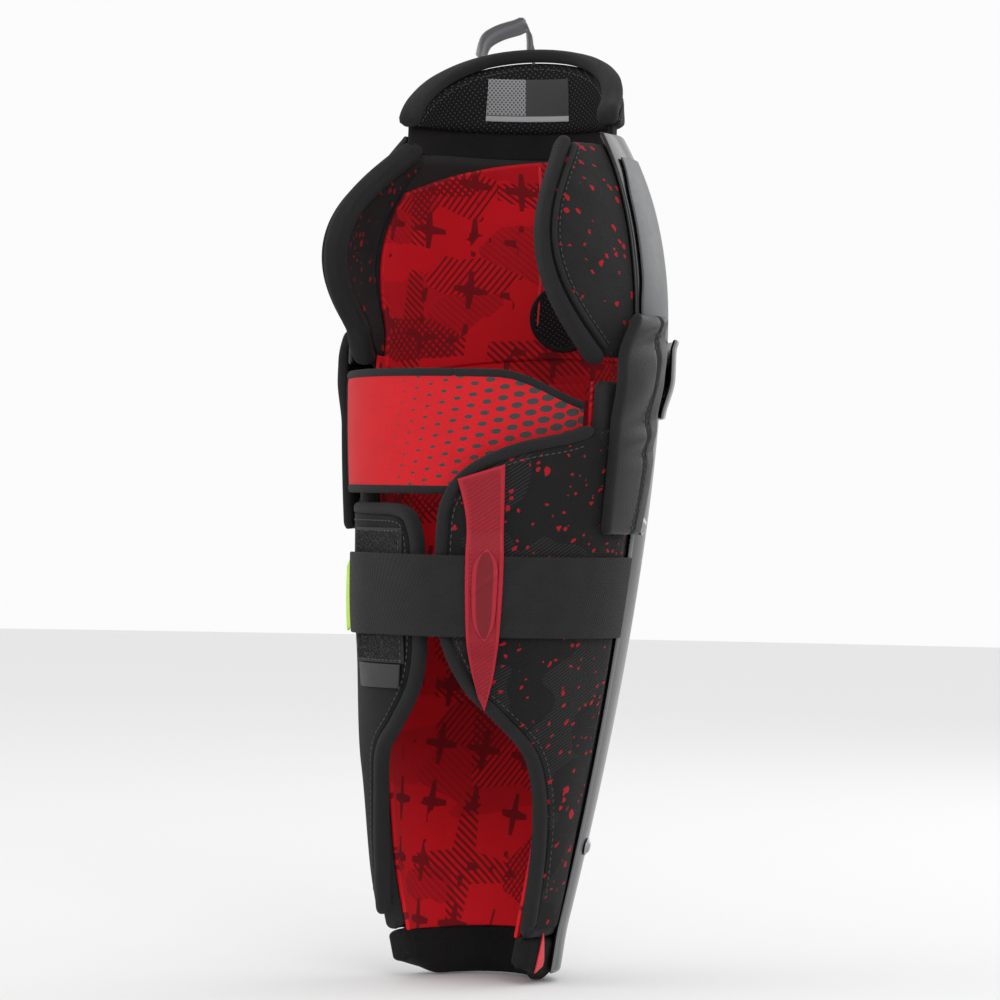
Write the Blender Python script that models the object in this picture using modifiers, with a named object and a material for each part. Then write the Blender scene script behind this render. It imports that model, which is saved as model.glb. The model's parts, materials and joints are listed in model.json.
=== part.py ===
"""Ice hockey shin guard for the right leg: shells, padding, wraps and straps as separate parts.

Metres, +Z up. The leg's axis runs up from the origin at the ankle, the guard faces -Y, the wearer's
outer side is -X and the inner side is +X. Bearings are degrees around the leg: 0 at the front,
90 on the outer side, 180 at the back and 270 on the inner side.
"""
import math

import bmesh
import bpy
from mathutils import Matrix, Vector

# Leg axis
AXIS_Y_BOTTOM = 0.008
AXIS_SLOPE = -0.050

# Shin unit
SHIN_TOP = 0.314
ANKLE_RADIUS = 0.041
CALF_RADIUS = 0.085
TAPER_POWER = 1.6
FRONT_BULGE = 0.008
SHELL_THICKNESS = 0.003
FOAM_THICKNESS = 0.010
LINER_THICKNESS = 0.0022
LAYER_GAP = 0.0005
SHELL_WRAP_TOP = 87.0
SHELL_WRAP_BOTTOM = 80.0
FOAM_WRAP = 110.0
SHELL_BOTTOM = 0.004
HEM_HEIGHT = 0.0215
RIVET_RADIUS = 0.004
RIVET_HEIGHT = 0.0016
LIP_WRAP = 70.0
LIP_DROP = 0.018
LIP_RISE = 0.024
LIP_STAND = 0.0075
LIP_BOTTOM = SHIN_TOP - LIP_DROP
LIP_TOP = SHIN_TOP + LIP_RISE
FOAM_TOP = -(SHELL_THICKNESS + LAYER_GAP)
LINER_TOP = FOAM_TOP - FOAM_THICKNESS - LAYER_GAP
BASE_COVER = 0.002
BASE_DROP = 0.014
UPPER_RIVET = 0.239
MEDIAL_UPPER_RIVET = 0.226
LOWER_RIVET = 0.070
# The outlines are drawn for this shin height: above DRAWN_FOOT they keep their distance from its top
DRAWN_SHIN = 0.314
DRAWN_FOOT = 0.142

# Knee unit
KNEE_GAP = 0.005
KNEE_STAND = 0.001
KNEE_HEIGHT = 0.127
DOME_LIFT = 0.021
DOME_HEIGHT = 0.146
WING_LIFT = 0.071
MEDIAL_WING_DROP = 0.005
FLARE_LIFT = 0.073
VENT_LIFT = 0.0325
KNEE_BASE = SHIN_TOP + KNEE_GAP
KNEE_RADIUS = CALF_RADIUS + KNEE_STAND
DOME_START = KNEE_BASE + DOME_LIFT
KNEE_TOP = KNEE_BASE + KNEE_HEIGHT
CAP_WRAP = 97.0
KNEE_LINER_WRAP = 86.0
WING_THICKNESS = 0.011
WING_MIDDLE = KNEE_BASE + WING_LIFT
WING_HALF_HEIGHT = 0.062
WING_FLARE = 0.016
FLARE_MIDDLE = KNEE_BASE + FLARE_LIFT
FLARE_HALF_HEIGHT = 0.052
BINDING_WIDTH = 0.0055
BINDING_THICKNESS = 0.009
SOFT_GAP = 0.0012
VENT_RADIUS = 0.0185
VENT_HEIGHT = KNEE_BASE + VENT_LIFT
VENT_CLEARANCE = 0.0005
PANEL_THICKNESS = 0.0012
SIDE_PANEL_LIFT = 0.033
SIDE_PANEL_DROP = 0.016
KNEE_PAD_DROP = 0.004
LINER_EDGE_DROP = 0.020

# Thigh flap
THIGH_STEP = 0.026
THIGH_RADIUS = KNEE_RADIUS - THIGH_STEP
THIGH_BULGE = 0.006
THIGH_GAP = 0.0045
THIGH_HEIGHT = 0.039
THIGH_BOTTOM = KNEE_TOP + THIGH_GAP
THIGH_TOP = THIGH_BOTTOM + THIGH_HEIGHT
THIGH_THICKNESS = 0.010
LABEL_THICKNESS = 0.0006
LABEL_INSET = 0.004
LABEL_HEIGHT = 0.022
LOOP_HEIGHT = 0.012
LOOP_WIDTH = 0.014
LOOP_THICKNESS = 0.0012

# Wraps and straps
BOLSTER_START = 84.0
BOLSTER_END = 109.5
MEDIAL_BOLSTER_START = 71.5
MEDIAL_BOLSTER_END = 92.0
BOLSTER_FOOT_DROP = 0.079
BOLSTER_RISE = 0.035
BOLSTER_BOTTOM = SHIN_TOP - BOLSTER_FOOT_DROP
BOLSTER_TOP = SHIN_TOP + BOLSTER_RISE
MEDIAL_BOLSTER_DROP = 0.008
BOLSTER_THICKNESS = 0.0055
BOLSTER_GAP = 0.0006
BOLSTER_KNEE_GAP = 0.003
BOLSTER_STEP_DROP = 0.024
BOLSTER_STEP = 0.026
WRAP_START = 113.5
OUTER_FOOT = 0.090
INNER_FOOT = 0.035
HINGE_HEIGHT = 0.004
WRAP_THICKNESS = 0.007
INNER_WRAP_DEPTH = 0.0016
STRAP_DROP = 0.133
STRAP_BOTTOM = SHIN_TOP - STRAP_DROP
STRAP_WIDTH = 0.042
STRAP_THICKNESS = 0.002
STRAP_LIFT = 0.0032
KEEPER_THICKNESS = 0.0025
CALF_STRAP_DROP = 0.058
CALF_STRAP_BOTTOM = SHIN_TOP - CALF_STRAP_DROP
CALF_STRAP_WIDTH = 0.060
CALF_STRAP_THICKNESS = 0.003
TAIL_START = 162.5
TAIL_END = 227.0
CALF_TAIL_START = 172.5
CALF_TAIL_END = 245.0
LOOP_PATCH_THICKNESS = 0.001
HOOK_THICKNESS = 0.0009
HOOK_INSET = 0.003
PATCH_FOOT = 0.015
PATCH_HEAD = 0.013
PATCH_TAB_HEIGHT = 0.013
PATCH_BOTTOM = STRAP_BOTTOM - PATCH_FOOT
PATCH_TOP = STRAP_BOTTOM + STRAP_WIDTH + PATCH_HEAD
TAB_INSET = 0.002
TAB_TOP_INSET = 0.007
CALF_STRAP_DEPTH = 0.0025
CALF_STRAP_RISE = 0.004
BADGE_THICKNESS = 0.0008
KEEPER_RAMP = 0.012
KEEPER_EDGE = 0.001
TOUCH_GAP = 0.0004

# Joint limits in degrees, used where clearance depends on them
KNEE_FLEX_FORWARD = 8.0
KNEE_FLEX_BACK = 5.0
KNEE_HINGE_Y = -0.040
KNEE_HINGE_Z = DOME_START

COLUMN_STEP = 9.0
FINE_STEP = 6.0
EDGE_LOOP = 0.08


def smooth(value):
    """Smooth step from 0 to 1."""
    t = min(1.0, max(0.0, value))
    return t * t * (3.0 - 2.0 * t)


def through(value, stations):
    """Smoothly joined value through (position, value) stations."""
    if value <= stations[0][0]:
        return stations[0][1]
    for (low, start), (high, end) in zip(stations, stations[1:]):
        if value <= high:
            return start + (end - start) * smooth((value - low) / (high - low))
    return stations[-1][1]


def axis_y(z):
    return AXIS_Y_BOTTOM + AXIS_SLOPE * z


def drawn_height(z):
    """Height on this shin of a height that an outline is drawn at."""
    return z + (SHIN_TOP - DRAWN_SHIN) * min(1.0, z / DRAWN_FOOT)


def drawn(points):
    return [(bearing, drawn_height(z)) for bearing, z in points]


# Height and how far the inner side stands out there
FULLNESS = [(drawn_height(z), fullness) for z, fullness in
            ((0.0, 0.004), (0.05, 0.005), (0.11, 0.002), (0.18, -0.003), (0.25, -0.007), (DRAWN_SHIN, 0.0))]


def front_bulge(bearing):
    return FRONT_BULGE * max(0.0, math.cos(math.radians(bearing))) ** 2


def plain_shin_radius(bearing, z):
    """Outer radius of the shin unit, the same on the inner and outer side."""
    t = min(1.0, max(0.0, 1.0 - z / SHIN_TOP))
    radius = ANKLE_RADIUS + (CALF_RADIUS - ANKLE_RADIUS) * (1.0 - t ** TAPER_POWER)
    return radius + front_bulge(bearing)


def shin_radius(bearing, z):
    """Outer radius of the shin unit, with the inner side fuller at the ankle and slimmer at the calf."""
    b = bearing % 360.0
    inner_side = smooth((b - 174.0) / 36.0) * (1.0 - smooth((b - 250.0) / 50.0))
    return plain_shin_radius(bearing, z) + inner_side * through(z, FULLNESS)


def knee_radius(bearing, z):
    """Outer radius of the knee cup: a dome above, with the inner wing flared."""
    rise = min(0.97, max(0.0, (z - DOME_START) / DOME_HEIGHT))
    radius = KNEE_RADIUS * math.sqrt(1.0 - rise ** 2)
    b = bearing % 360.0
    inner_side = smooth((300.0 - b) / 60.0) * smooth((b - 200.0) / 30.0)
    height = min(1.0, abs(z - FLARE_MIDDLE) / FLARE_HALF_HEIGHT)
    flare = WING_FLARE * math.cos(math.radians(90.0 * height)) * inner_side
    return radius + front_bulge(bearing) + flare


def thigh_radius(bearing, z):
    lean = 0.10 * max(0.0, z - THIGH_BOTTOM)
    return THIGH_RADIUS - lean + THIGH_BULGE * max(0.0, math.cos(math.radians(bearing))) ** 2


def surface_point(radius, bearing, z):
    r = radius(bearing, z)
    a = math.radians(bearing)
    return Vector((-r * math.sin(a), axis_y(z) - r * math.cos(a), z))


def surface_normal(radius, bearing, z):
    around = surface_point(radius, bearing + 1.0, z) - surface_point(radius, bearing - 1.0, z)
    up = surface_point(radius, bearing, z + 0.002) - surface_point(radius, bearing, z - 0.002)
    return up.cross(around).normalized()


def layer_point(radius, bearing, z, height):
    """Point on a surface, raised outwards by height."""
    return surface_point(radius, bearing, z) + surface_normal(radius, bearing, z) * height


def start_scene():
    for item in list(bpy.data.objects):
        bpy.data.objects.remove(item, do_unlink=True)
    parts = bpy.data.collections.new("hockey_shin_guard")
    cutters = bpy.data.collections.new("cutters")
    bpy.context.scene.collection.children.link(parts)
    bpy.context.scene.collection.children.link(cutters)
    return parts, cutters


PARTS, CUTTERS = start_scene()


def material(name, colour, roughness, metallic=0.0):
    mat = bpy.data.materials.new(name)
    mat.use_nodes = True
    shader = mat.node_tree.nodes["Principled BSDF"]
    shader.inputs["Base Color"].default_value = (*colour, 1.0)
    shader.inputs["Roughness"].default_value = roughness
    shader.inputs["Metallic"].default_value = metallic
    return mat


SHELL_PLASTIC = material("shell_plastic", (0.03, 0.03, 0.035), 0.3)
PANEL_GREY = material("panel_grey", (0.16, 0.17, 0.18), 0.35, 0.4)
FOAM_DARK = material("foam", (0.06, 0.06, 0.065), 0.9)
LINER_RED = material("liner_print", (0.70, 0.01, 0.03), 0.8)
KNIT_BLACK = material("knit_black", (0.02, 0.02, 0.022), 0.9)
STRAP_RED = material("strap_knit_red", (0.75, 0.02, 0.03), 0.7)
KEEPER_RED = material("moulded_red", (0.45, 0.01, 0.04), 0.5)
WEBBING = material("elastic_webbing", (0.025, 0.025, 0.028), 0.8)
LIME = material("lime_tab", (0.42, 0.74, 0.04), 0.6)
LEATHERETTE = material("leatherette", (0.025, 0.025, 0.028), 0.45)
LABEL_GREY = material("label_print", (0.35, 0.35, 0.36), 0.7)
RIVET_STEEL = material("rivet_steel", (0.35, 0.35, 0.37), 0.35, 0.9)


def joint_empty(name, place):
    empty = bpy.data.objects.new(name, None)
    empty.location = place
    PARTS.objects.link(empty)
    return empty


def put(obj, mat, parent):
    obj.data.materials.append(mat)
    if parent is not None:
        obj.parent = parent
        obj.matrix_parent_inverse = Matrix.Translation(-parent.location)


def curve_through(points, count):
    """Points spread evenly along a smooth curve through (bearing, z) control points."""
    dense = []
    last = len(points) - 1
    for i in range(last):
        p0 = Vector(points[max(0, i - 1)])
        p1 = Vector(points[i])
        p2 = Vector(points[i + 1])
        p3 = Vector(points[min(last, i + 2)])
        for k in range(12):
            t = k / 12.0
            dense.append(0.5 * (2.0 * p1 + (p2 - p0) * t + (2.0 * p0 - 5.0 * p1 + 4.0 * p2 - p3) * t ** 2
                                + (3.0 * p1 - p0 - 3.0 * p2 + p3) * t ** 3))
    dense.append(Vector(points[-1]))
    scale = math.radians(1.0) * CALF_RADIUS
    lengths = [0.0]
    for a, b in zip(dense, dense[1:]):
        lengths.append(lengths[-1] + math.hypot((b.x - a.x) * scale, b.y - a.y))
    result = []
    index = 0
    for k in range(count):
        target = lengths[-1] * k / (count - 1)
        while index < len(dense) - 2 and lengths[index + 1] < target:
            index += 1
        share = (target - lengths[index]) / (lengths[index + 1] - lengths[index])
        result.append(tuple(dense[index].lerp(dense[index + 1], min(1.0, share))))
    return result


def offset_path(path, radius, distance):
    """Path moved sideways on the surface, to the left of its direction when distance is positive."""
    result = []
    for i, (bearing, z) in enumerate(path):
        before = path[max(0, i - 1)]
        after = path[min(len(path) - 1, i + 1)]
        scale = math.radians(1.0) * radius(bearing, z)
        along = Vector(((after[0] - before[0]) * scale, after[1] - before[1])).normalized()
        result.append((bearing - along.y * distance / scale, z + along.x * distance))
    return result


def level(bearing_start, bearing_end, z, step=COLUMN_STEP):
    """Row of points around the leg at height z, which may be a function of the bearing."""
    count = max(2, round(abs(bearing_end - bearing_start) / step)) + 1
    row = []
    for i in range(count):
        b = bearing_start + (bearing_end - bearing_start) * i / (count - 1)
        row.append((b, z(b) if callable(z) else z))
    return row


def spread(count):
    """Positions 0 to count, with one more beside each end so that the edges keep their true slope."""
    if count == 1:
        return [0.0, 1.0]
    return [0.0, EDGE_LOOP, *range(1, count), count - EDGE_LOOP, float(count)]


def on_path(path, position):
    """Bearing and height at a position counted in points along a path."""
    index = min(int(position), len(path) - 2)
    share = position - index
    return [a + (b - a) * share for a, b in zip(path[index], path[index + 1])]


def panel(name, mat, parent, radius, low, high, rows, top, thickness):
    """Solid sheet between two matching paths, its outer face raised by top above the surface.

    top is a height or a function of (bearing, z). The sheet is an open grid with Solidify.
    """
    along = spread(len(low) - 1)
    across = spread(rows)
    bm = bmesh.new()
    bmesh.ops.create_grid(bm, x_segments=len(along) - 1, y_segments=len(across) - 1, size=0.5)
    for vert in bm.verts:
        position = along[round((vert.co.x + 0.5) * (len(along) - 1))]
        t = across[round((vert.co.y + 0.5) * (len(across) - 1))] / rows
        start = on_path(low, position)
        end = on_path(high, position)
        bearing = start[0] + (end[0] - start[0]) * t
        z = start[1] + (end[1] - start[1]) * t
        height = top(bearing, z) if callable(top) else top
        vert.co = layer_point(radius, bearing, z, height)
    bm.normal_update()
    middle = bm.faces[:][len(bm.faces) // 2]
    centre = middle.calc_center_median()
    outwards = Vector((centre.x, centre.y - axis_y(centre.z), 0.0))
    if middle.normal.dot(outwards) < 0.0:
        bmesh.ops.reverse_faces(bm, faces=bm.faces[:])
    mesh = bpy.data.meshes.new(name)
    bm.to_mesh(mesh)
    bm.free()
    mesh.shade_smooth()
    obj = bpy.data.objects.new(name, mesh)
    PARTS.objects.link(obj)
    solid = obj.modifiers.new("Thickness", "SOLIDIFY")
    solid.thickness = thickness
    solid.offset = -1.0
    put(obj, mat, parent)
    return obj


def disc_cutter(name, radius_m, height, place):
    """Closed cylinder along Y that cuts a round hole."""
    bm = bmesh.new()
    turn = Matrix.Rotation(math.radians(90.0), 4, "X")
    bmesh.ops.create_cone(bm, cap_ends=True, segments=32, radius1=radius_m, radius2=radius_m,
                          depth=height, matrix=Matrix.Translation(place) @ turn)
    mesh = bpy.data.meshes.new(name)
    bm.to_mesh(mesh)
    bm.free()
    obj = bpy.data.objects.new(name, mesh)
    obj.hide_render = True
    obj.display_type = "WIRE"
    CUTTERS.objects.link(obj)
    return obj


def cut(obj, cutter):
    hole = obj.modifiers.new("Hole", "BOOLEAN")
    hole.operation = "DIFFERENCE"
    hole.solver = "EXACT"
    hole.object = cutter


def shin_rows(wrap_low, wrap_high, z_low, z_high, step=COLUMN_STEP):
    """Lower and upper edges of a sheet centred on the front."""
    low = level(-wrap_low, wrap_low, z_low, step)
    count = len(low)
    high = []
    for i in range(count):
        b = -wrap_high + 2.0 * wrap_high * i / (count - 1)
        high.append((b, z_high))
    return low, high


def build_shell():
    low, high = shin_rows(SHELL_WRAP_BOTTOM, SHELL_WRAP_TOP, SHELL_BOTTOM, SHIN_TOP)
    panel("shin_shell", SHELL_PLASTIC, None, shin_radius, low, high, 8, 0.0, SHELL_THICKNESS)
    low, high = shin_rows(LIP_WRAP, LIP_WRAP, LIP_BOTTOM, LIP_TOP)
    panel("shell_lip", SHELL_PLASTIC, None, plain_shin_radius, low, high, 5, lip_rise,
          SHELL_THICKNESS - LAYER_GAP)


def lip_rise(bearing, z):
    base = SHELL_THICKNESS + TOUCH_GAP
    return base + (LIP_STAND - base) * smooth((z - LIP_BOTTOM) / (SHIN_TOP + 0.004 - LIP_BOTTOM))


def build_rivets():
    spots = drawn(((76.0, UPPER_RIVET), (-76.0, MEDIAL_UPPER_RIVET),
                   (68.0, LOWER_RIVET), (-68.0, LOWER_RIVET)))
    for number, (bearing, z) in enumerate(spots, 1):
        foot = layer_point(shin_radius, bearing, z, TOUCH_GAP + RIVET_HEIGHT / 2.0)
        outwards = surface_normal(shin_radius, bearing, z)
        bm = bmesh.new()
        turn = outwards.to_track_quat("Z", "Y").to_matrix().to_4x4()
        bmesh.ops.create_cone(bm, cap_ends=True, segments=16, radius1=RIVET_RADIUS,
                              radius2=RIVET_RADIUS * 0.75, depth=RIVET_HEIGHT,
                              matrix=Matrix.Translation(foot) @ turn)
        mesh = bpy.data.meshes.new(f"shell_rivet_{number}")
        bm.to_mesh(mesh)
        bm.free()
        obj = bpy.data.objects.new(f"shell_rivet_{number}", mesh)
        PARTS.objects.link(obj)
        put(obj, RIVET_STEEL, None)


def build_shin_padding():
    foot = HEM_HEIGHT + LAYER_GAP
    low, high = shin_rows(FOAM_WRAP, FOAM_WRAP, foot, SHIN_TOP)
    panel("shin_foam", FOAM_DARK, None, shin_radius, low, high, 7, FOAM_TOP, FOAM_THICKNESS)
    panel("shin_liner", LINER_RED, None, shin_radius, low, high, 7, LINER_TOP, LINER_THICKNESS)
    low, high = shin_rows(FOAM_WRAP, FOAM_WRAP, 0.0, HEM_HEIGHT)
    panel("ankle_hem", KNIT_BLACK, None, shin_radius, low, high, 2, FOAM_TOP,
          FOAM_THICKNESS + LINER_THICKNESS)


def build_hem_flash():
    low = [(88.0, 0.0075), (98.0, 0.0040)]
    high = [(88.0, 0.0100), (98.0, 0.0260)]
    panel("hem_flash", STRAP_RED, None, shin_radius, low, high, 2, FOAM_TOP + TOUCH_GAP + 0.0008, 0.0008)


def side_range(side, start, end):
    """Bearings of a side piece; side is 1 on the outer side and -1 on the inner side."""
    return (start, end) if side > 0 else (-start, -end)


def build_side_pieces():
    foot = HEM_HEIGHT + 0.006
    for side, label in ((1, "lateral"), (-1, "medial")):
        start, end = side_range(side, SHELL_WRAP_TOP + 1.5, FOAM_WRAP)
        low = level(start, end, foot, FINE_STEP)
        high = level(start, end, SHIN_TOP - BASE_DROP, FINE_STEP)
        panel(f"wrap_base_{label}", KNIT_BLACK, None, shin_radius, low, high, 8,
              FOAM_TOP + SOFT_GAP + BASE_COVER, BASE_COVER)
        if side > 0:
            start, end = side_range(side, BOLSTER_START, BOLSTER_END)
            top = BOLSTER_TOP
        else:
            start, end = side_range(side, MEDIAL_BOLSTER_START, MEDIAL_BOLSTER_END)
            top = BOLSTER_TOP - MEDIAL_BOLSTER_DROP
        low = level(start, end, BOLSTER_BOTTOM, FINE_STEP)
        high = level(start, end, top, FINE_STEP)
        panel(f"side_bolster_{label}", LEATHERETTE, None, plain_shin_radius, low, high, 7, bolster_rise,
              BOLSTER_THICKNESS)
    low = level(SHELL_WRAP_TOP + 2.0, FOAM_WRAP - 0.5, STRAP_BOTTOM, FINE_STEP)
    high = level(SHELL_WRAP_TOP + 2.0, FOAM_WRAP - 0.5, STRAP_BOTTOM + STRAP_WIDTH, FINE_STEP)
    panel("strap_anchor", WEBBING, None, shin_radius, low, high, 3, STRAP_LIFT, STRAP_THICKNESS)


def bolster_rise(bearing, z):
    """The bolster lies close on the shin and stands clear of the knee unit above."""
    clear = KNEE_STAND + BOLSTER_KNEE_GAP
    step = smooth((z - (SHIN_TOP - BOLSTER_STEP_DROP)) / BOLSTER_STEP)
    return BOLSTER_THICKNESS + BOLSTER_GAP + (clear - BOLSTER_GAP) * step


def knee_bottom(bearing):
    """Lower edge of the knee unit, raised where flexing brings it down on the shin unit."""
    y = axis_y(KNEE_BASE) - (KNEE_RADIUS + front_bulge(bearing)) * math.cos(math.radians(bearing))
    front = max(0.0, KNEE_HINGE_Y - y) * math.tan(math.radians(KNEE_FLEX_FORWARD))
    back = max(0.0, y - KNEE_HINGE_Y) * math.tan(math.radians(KNEE_FLEX_BACK))
    return KNEE_BASE + front + back


def wing_rim(side, z):
    """Bearing of a wing's rear edge, largest at mid height."""
    if side > 0:
        reach, drop, middle = 138.0, 24.0, WING_MIDDLE
    else:
        reach, drop, middle = 122.0, 30.0, WING_MIDDLE - MEDIAL_WING_DROP
    share = min(1.1, abs(z - middle) / WING_HALF_HEIGHT)
    return (reach - drop * share ** 2) * side


def build_knee(knee):
    low = level(-CAP_WRAP, CAP_WRAP, knee_bottom)
    high = level(-CAP_WRAP, CAP_WRAP, KNEE_TOP)
    panel("knee_cap_shell", SHELL_PLASTIC, knee, knee_radius, low, high, 8, 0.0, SHELL_THICKNESS)

    low = level(-KNEE_LINER_WRAP, KNEE_LINER_WRAP, knee_bottom)
    high = level(-KNEE_LINER_WRAP, KNEE_LINER_WRAP, KNEE_TOP - KNEE_PAD_DROP)
    foam = panel("knee_foam", FOAM_DARK, knee, knee_radius, low, high, 7, FOAM_TOP, FOAM_THICKNESS)

    def liner_top_edge(bearing):
        return KNEE_TOP - KNEE_PAD_DROP - LINER_EDGE_DROP * (abs(bearing) / KNEE_LINER_WRAP) ** 2
    high = level(-KNEE_LINER_WRAP, KNEE_LINER_WRAP, liner_top_edge)
    liner = panel("knee_liner", LINER_RED, knee, knee_radius, low, high, 7, LINER_TOP, LINER_THICKNESS)

    front = surface_point(knee_radius, 0.0, VENT_HEIGHT)
    cutter = disc_cutter("vent_cutter", VENT_RADIUS + VENT_CLEARANCE, 4.0 * FOAM_THICKNESS, front)
    cut(foam, cutter)
    cut(liner, cutter)
    build_vent(knee)
    for side, label in ((1, "lateral"), (-1, "medial")):
        build_wing(knee, side, label)
        build_cap_panel(knee, side, label)


def build_vent(knee):
    """Mesh disc in the hole of the liner, following its curve."""
    bm = bmesh.new()
    bmesh.ops.create_cone(bm, cap_ends=True, segments=32, radius1=VENT_RADIUS, radius2=VENT_RADIUS,
                          depth=LINER_THICKNESS)
    mean_radius = knee_radius(0.0, VENT_HEIGHT)
    for vert in bm.verts:
        bearing = math.degrees(math.asin(vert.co.x / mean_radius))
        height = LINER_TOP - LINER_THICKNESS / 2.0 + vert.co.z
        vert.co = layer_point(knee_radius, bearing, VENT_HEIGHT + vert.co.y, height)
    bmesh.ops.reverse_faces(bm, faces=bm.faces[:])
    mesh = bpy.data.meshes.new("vent_mesh")
    bm.to_mesh(mesh)
    bm.free()
    obj = bpy.data.objects.new("vent_mesh", mesh)
    PARTS.objects.link(obj)
    put(obj, KNIT_BLACK, knee)


def build_wing(knee, side, label):
    """Soft wing behind the cap, with a knit binding on its rear edge."""
    rows = 8
    front = []
    rim = []
    low_z = knee_bottom(120.0) + 0.001
    for i in range(rows + 1):
        z = low_z + (KNEE_TOP - 0.003 - low_z) * i / rows
        front.append(((KNEE_LINER_WRAP + 1.0) * side, z))
        rim.append((wing_rim(side, z), z))
    panel(f"knee_wing_{label}", KNIT_BLACK, knee, knee_radius, front, rim, 5,
          FOAM_TOP - 2.0 * LAYER_GAP, WING_THICKNESS)
    inner = offset_path(rim, knee_radius, -side * SOFT_GAP)
    outer = offset_path(rim, knee_radius, -side * (SOFT_GAP + BINDING_WIDTH))
    panel(f"wing_binding_{label}", KNIT_BLACK, knee, knee_radius, inner, outer, 1,
          FOAM_TOP - 0.001, BINDING_THICKNESS)


def build_cap_panel(knee, side, label):
    low = level(62.0 * side, 94.0 * side, KNEE_BASE + SIDE_PANEL_LIFT, FINE_STEP)
    count = len(low)
    top = KNEE_TOP - SIDE_PANEL_DROP
    high = [(side * (66.0 + (94.0 - 66.0) * i / (count - 1)), top) for i in range(count)]
    panel(f"cap_side_panel_{label}", PANEL_GREY, knee, knee_radius, low, high, 6,
          TOUCH_GAP + PANEL_THICKNESS, PANEL_THICKNESS)


def thigh_edge(drop):
    """Upper edge of the flap, highest near the front."""
    def height(bearing):
        return THIGH_TOP + drop - 0.034 * ((bearing + 12.0) / 88.0) ** 2
    return height


def build_thigh(thigh):
    low = level(-100.0, 78.0, THIGH_BOTTOM)
    high = level(-100.0, 78.0, thigh_edge(0.0))
    panel("thigh_pad", KNIT_BLACK, thigh, thigh_radius, low, high, 4, 0.0, THIGH_THICKNESS)
    low = level(-100.0, 78.0, thigh_edge(SOFT_GAP))
    high = level(-100.0, 78.0, thigh_edge(SOFT_GAP + BINDING_WIDTH))
    panel("thigh_binding", KNIT_BLACK, thigh, thigh_radius, low, high, 1, -0.0005, THIGH_THICKNESS - 0.001)
    low = level(-45.0, 6.0, THIGH_BOTTOM + LABEL_INSET, FINE_STEP)
    high = level(-45.0, 6.0, THIGH_BOTTOM + LABEL_INSET + LABEL_HEIGHT, FINE_STEP)
    panel("size_label", LABEL_GREY, thigh, thigh_radius, low, high, 3, -THIGH_THICKNESS - LAYER_GAP,
          LABEL_THICKNESS)
    build_loop(thigh)


def build_loop(thigh):
    """Folded ribbon that stands on the flap's upper edge."""
    bearing = -29.0
    foot_z = thigh_edge(SOFT_GAP + BINDING_WIDTH)(bearing + 8.0) + 2.0 * TOUCH_GAP + LOOP_THICKNESS / 2.0
    foot = layer_point(thigh_radius, bearing, foot_z, -THIGH_THICKNESS / 2.0)
    outwards = surface_normal(thigh_radius, bearing, foot_z)
    outwards.z = 0.0
    outwards.normalize()
    sideways = Vector((-outwards.y, outwards.x, 0.0))
    steps = 10
    bm = bmesh.new()
    bmesh.ops.create_grid(bm, x_segments=steps, y_segments=2, size=0.5)
    for vert in bm.verts:
        angle = math.pi * (vert.co.x + 0.5)
        width = LOOP_WIDTH * vert.co.y
        vert.co = (foot + outwards * 0.0035 * math.cos(angle) + sideways * width
                   + Vector((0.0, 0.0, LOOP_HEIGHT * math.sin(angle))))
    mesh = bpy.data.meshes.new("pull_loop")
    bm.to_mesh(mesh)
    bm.free()
    mesh.shade_smooth()
    obj = bpy.data.objects.new("pull_loop", mesh)
    PARTS.objects.link(obj)
    solid = obj.modifiers.new("Thickness", "SOLIDIFY")
    solid.thickness = LOOP_THICKNESS
    solid.offset = 0.0
    put(obj, PANEL_GREY, thigh)


def outer_outline():
    """Free edge of the outer wrap, from the top front round the rear edge to the bottom front."""
    return drawn(((WRAP_START + 1.0, 0.286), (125.0, 0.281), (144.0, 0.275), (160.0, 0.264), (168.0, 0.250),
            (170.0, 0.232), (170.0, 0.200), (167.5, 0.178), (158.5, 0.157), (145.0, 0.142),
            (128.0, 0.123), (119.5, 0.106), (WRAP_START + 1.0, OUTER_FOOT)))


def inner_outline():
    """Free edge of the inner wrap, from the top front round the rear edge to the bottom front."""
    return drawn(((360.0 - WRAP_START - 1.0, 0.243), (215.0, 0.243), (194.0, 0.242), (188.0, 0.235),
            (186.0, 0.219), (185.5, 0.182), (189.0, 0.157), (200.0, 0.137), (213.0, 0.119),
            (221.0, 0.081), (225.0, 0.058), (234.0, 0.043), (360.0 - WRAP_START - 1.0, INNER_FOOT)))


def wrap_panel(name, parent, outline, front_bearing, count, top, side):
    edge = curve_through(outline, count)
    top_z = outline[0][1]
    bottom_z = outline[-1][1]
    front = [(front_bearing, top_z + (bottom_z - top_z) * i / (count - 1)) for i in range(count)]
    panel(name, KNIT_BLACK, parent, shin_radius, front, edge, 5, top, WRAP_THICKNESS)
    inner = offset_path(edge, shin_radius, side * SOFT_GAP)
    outer = offset_path(edge, shin_radius, side * (SOFT_GAP + BINDING_WIDTH))
    panel(name + "_binding", KNIT_BLACK, parent, shin_radius, inner, outer, 1, top,
          WRAP_THICKNESS)


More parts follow.
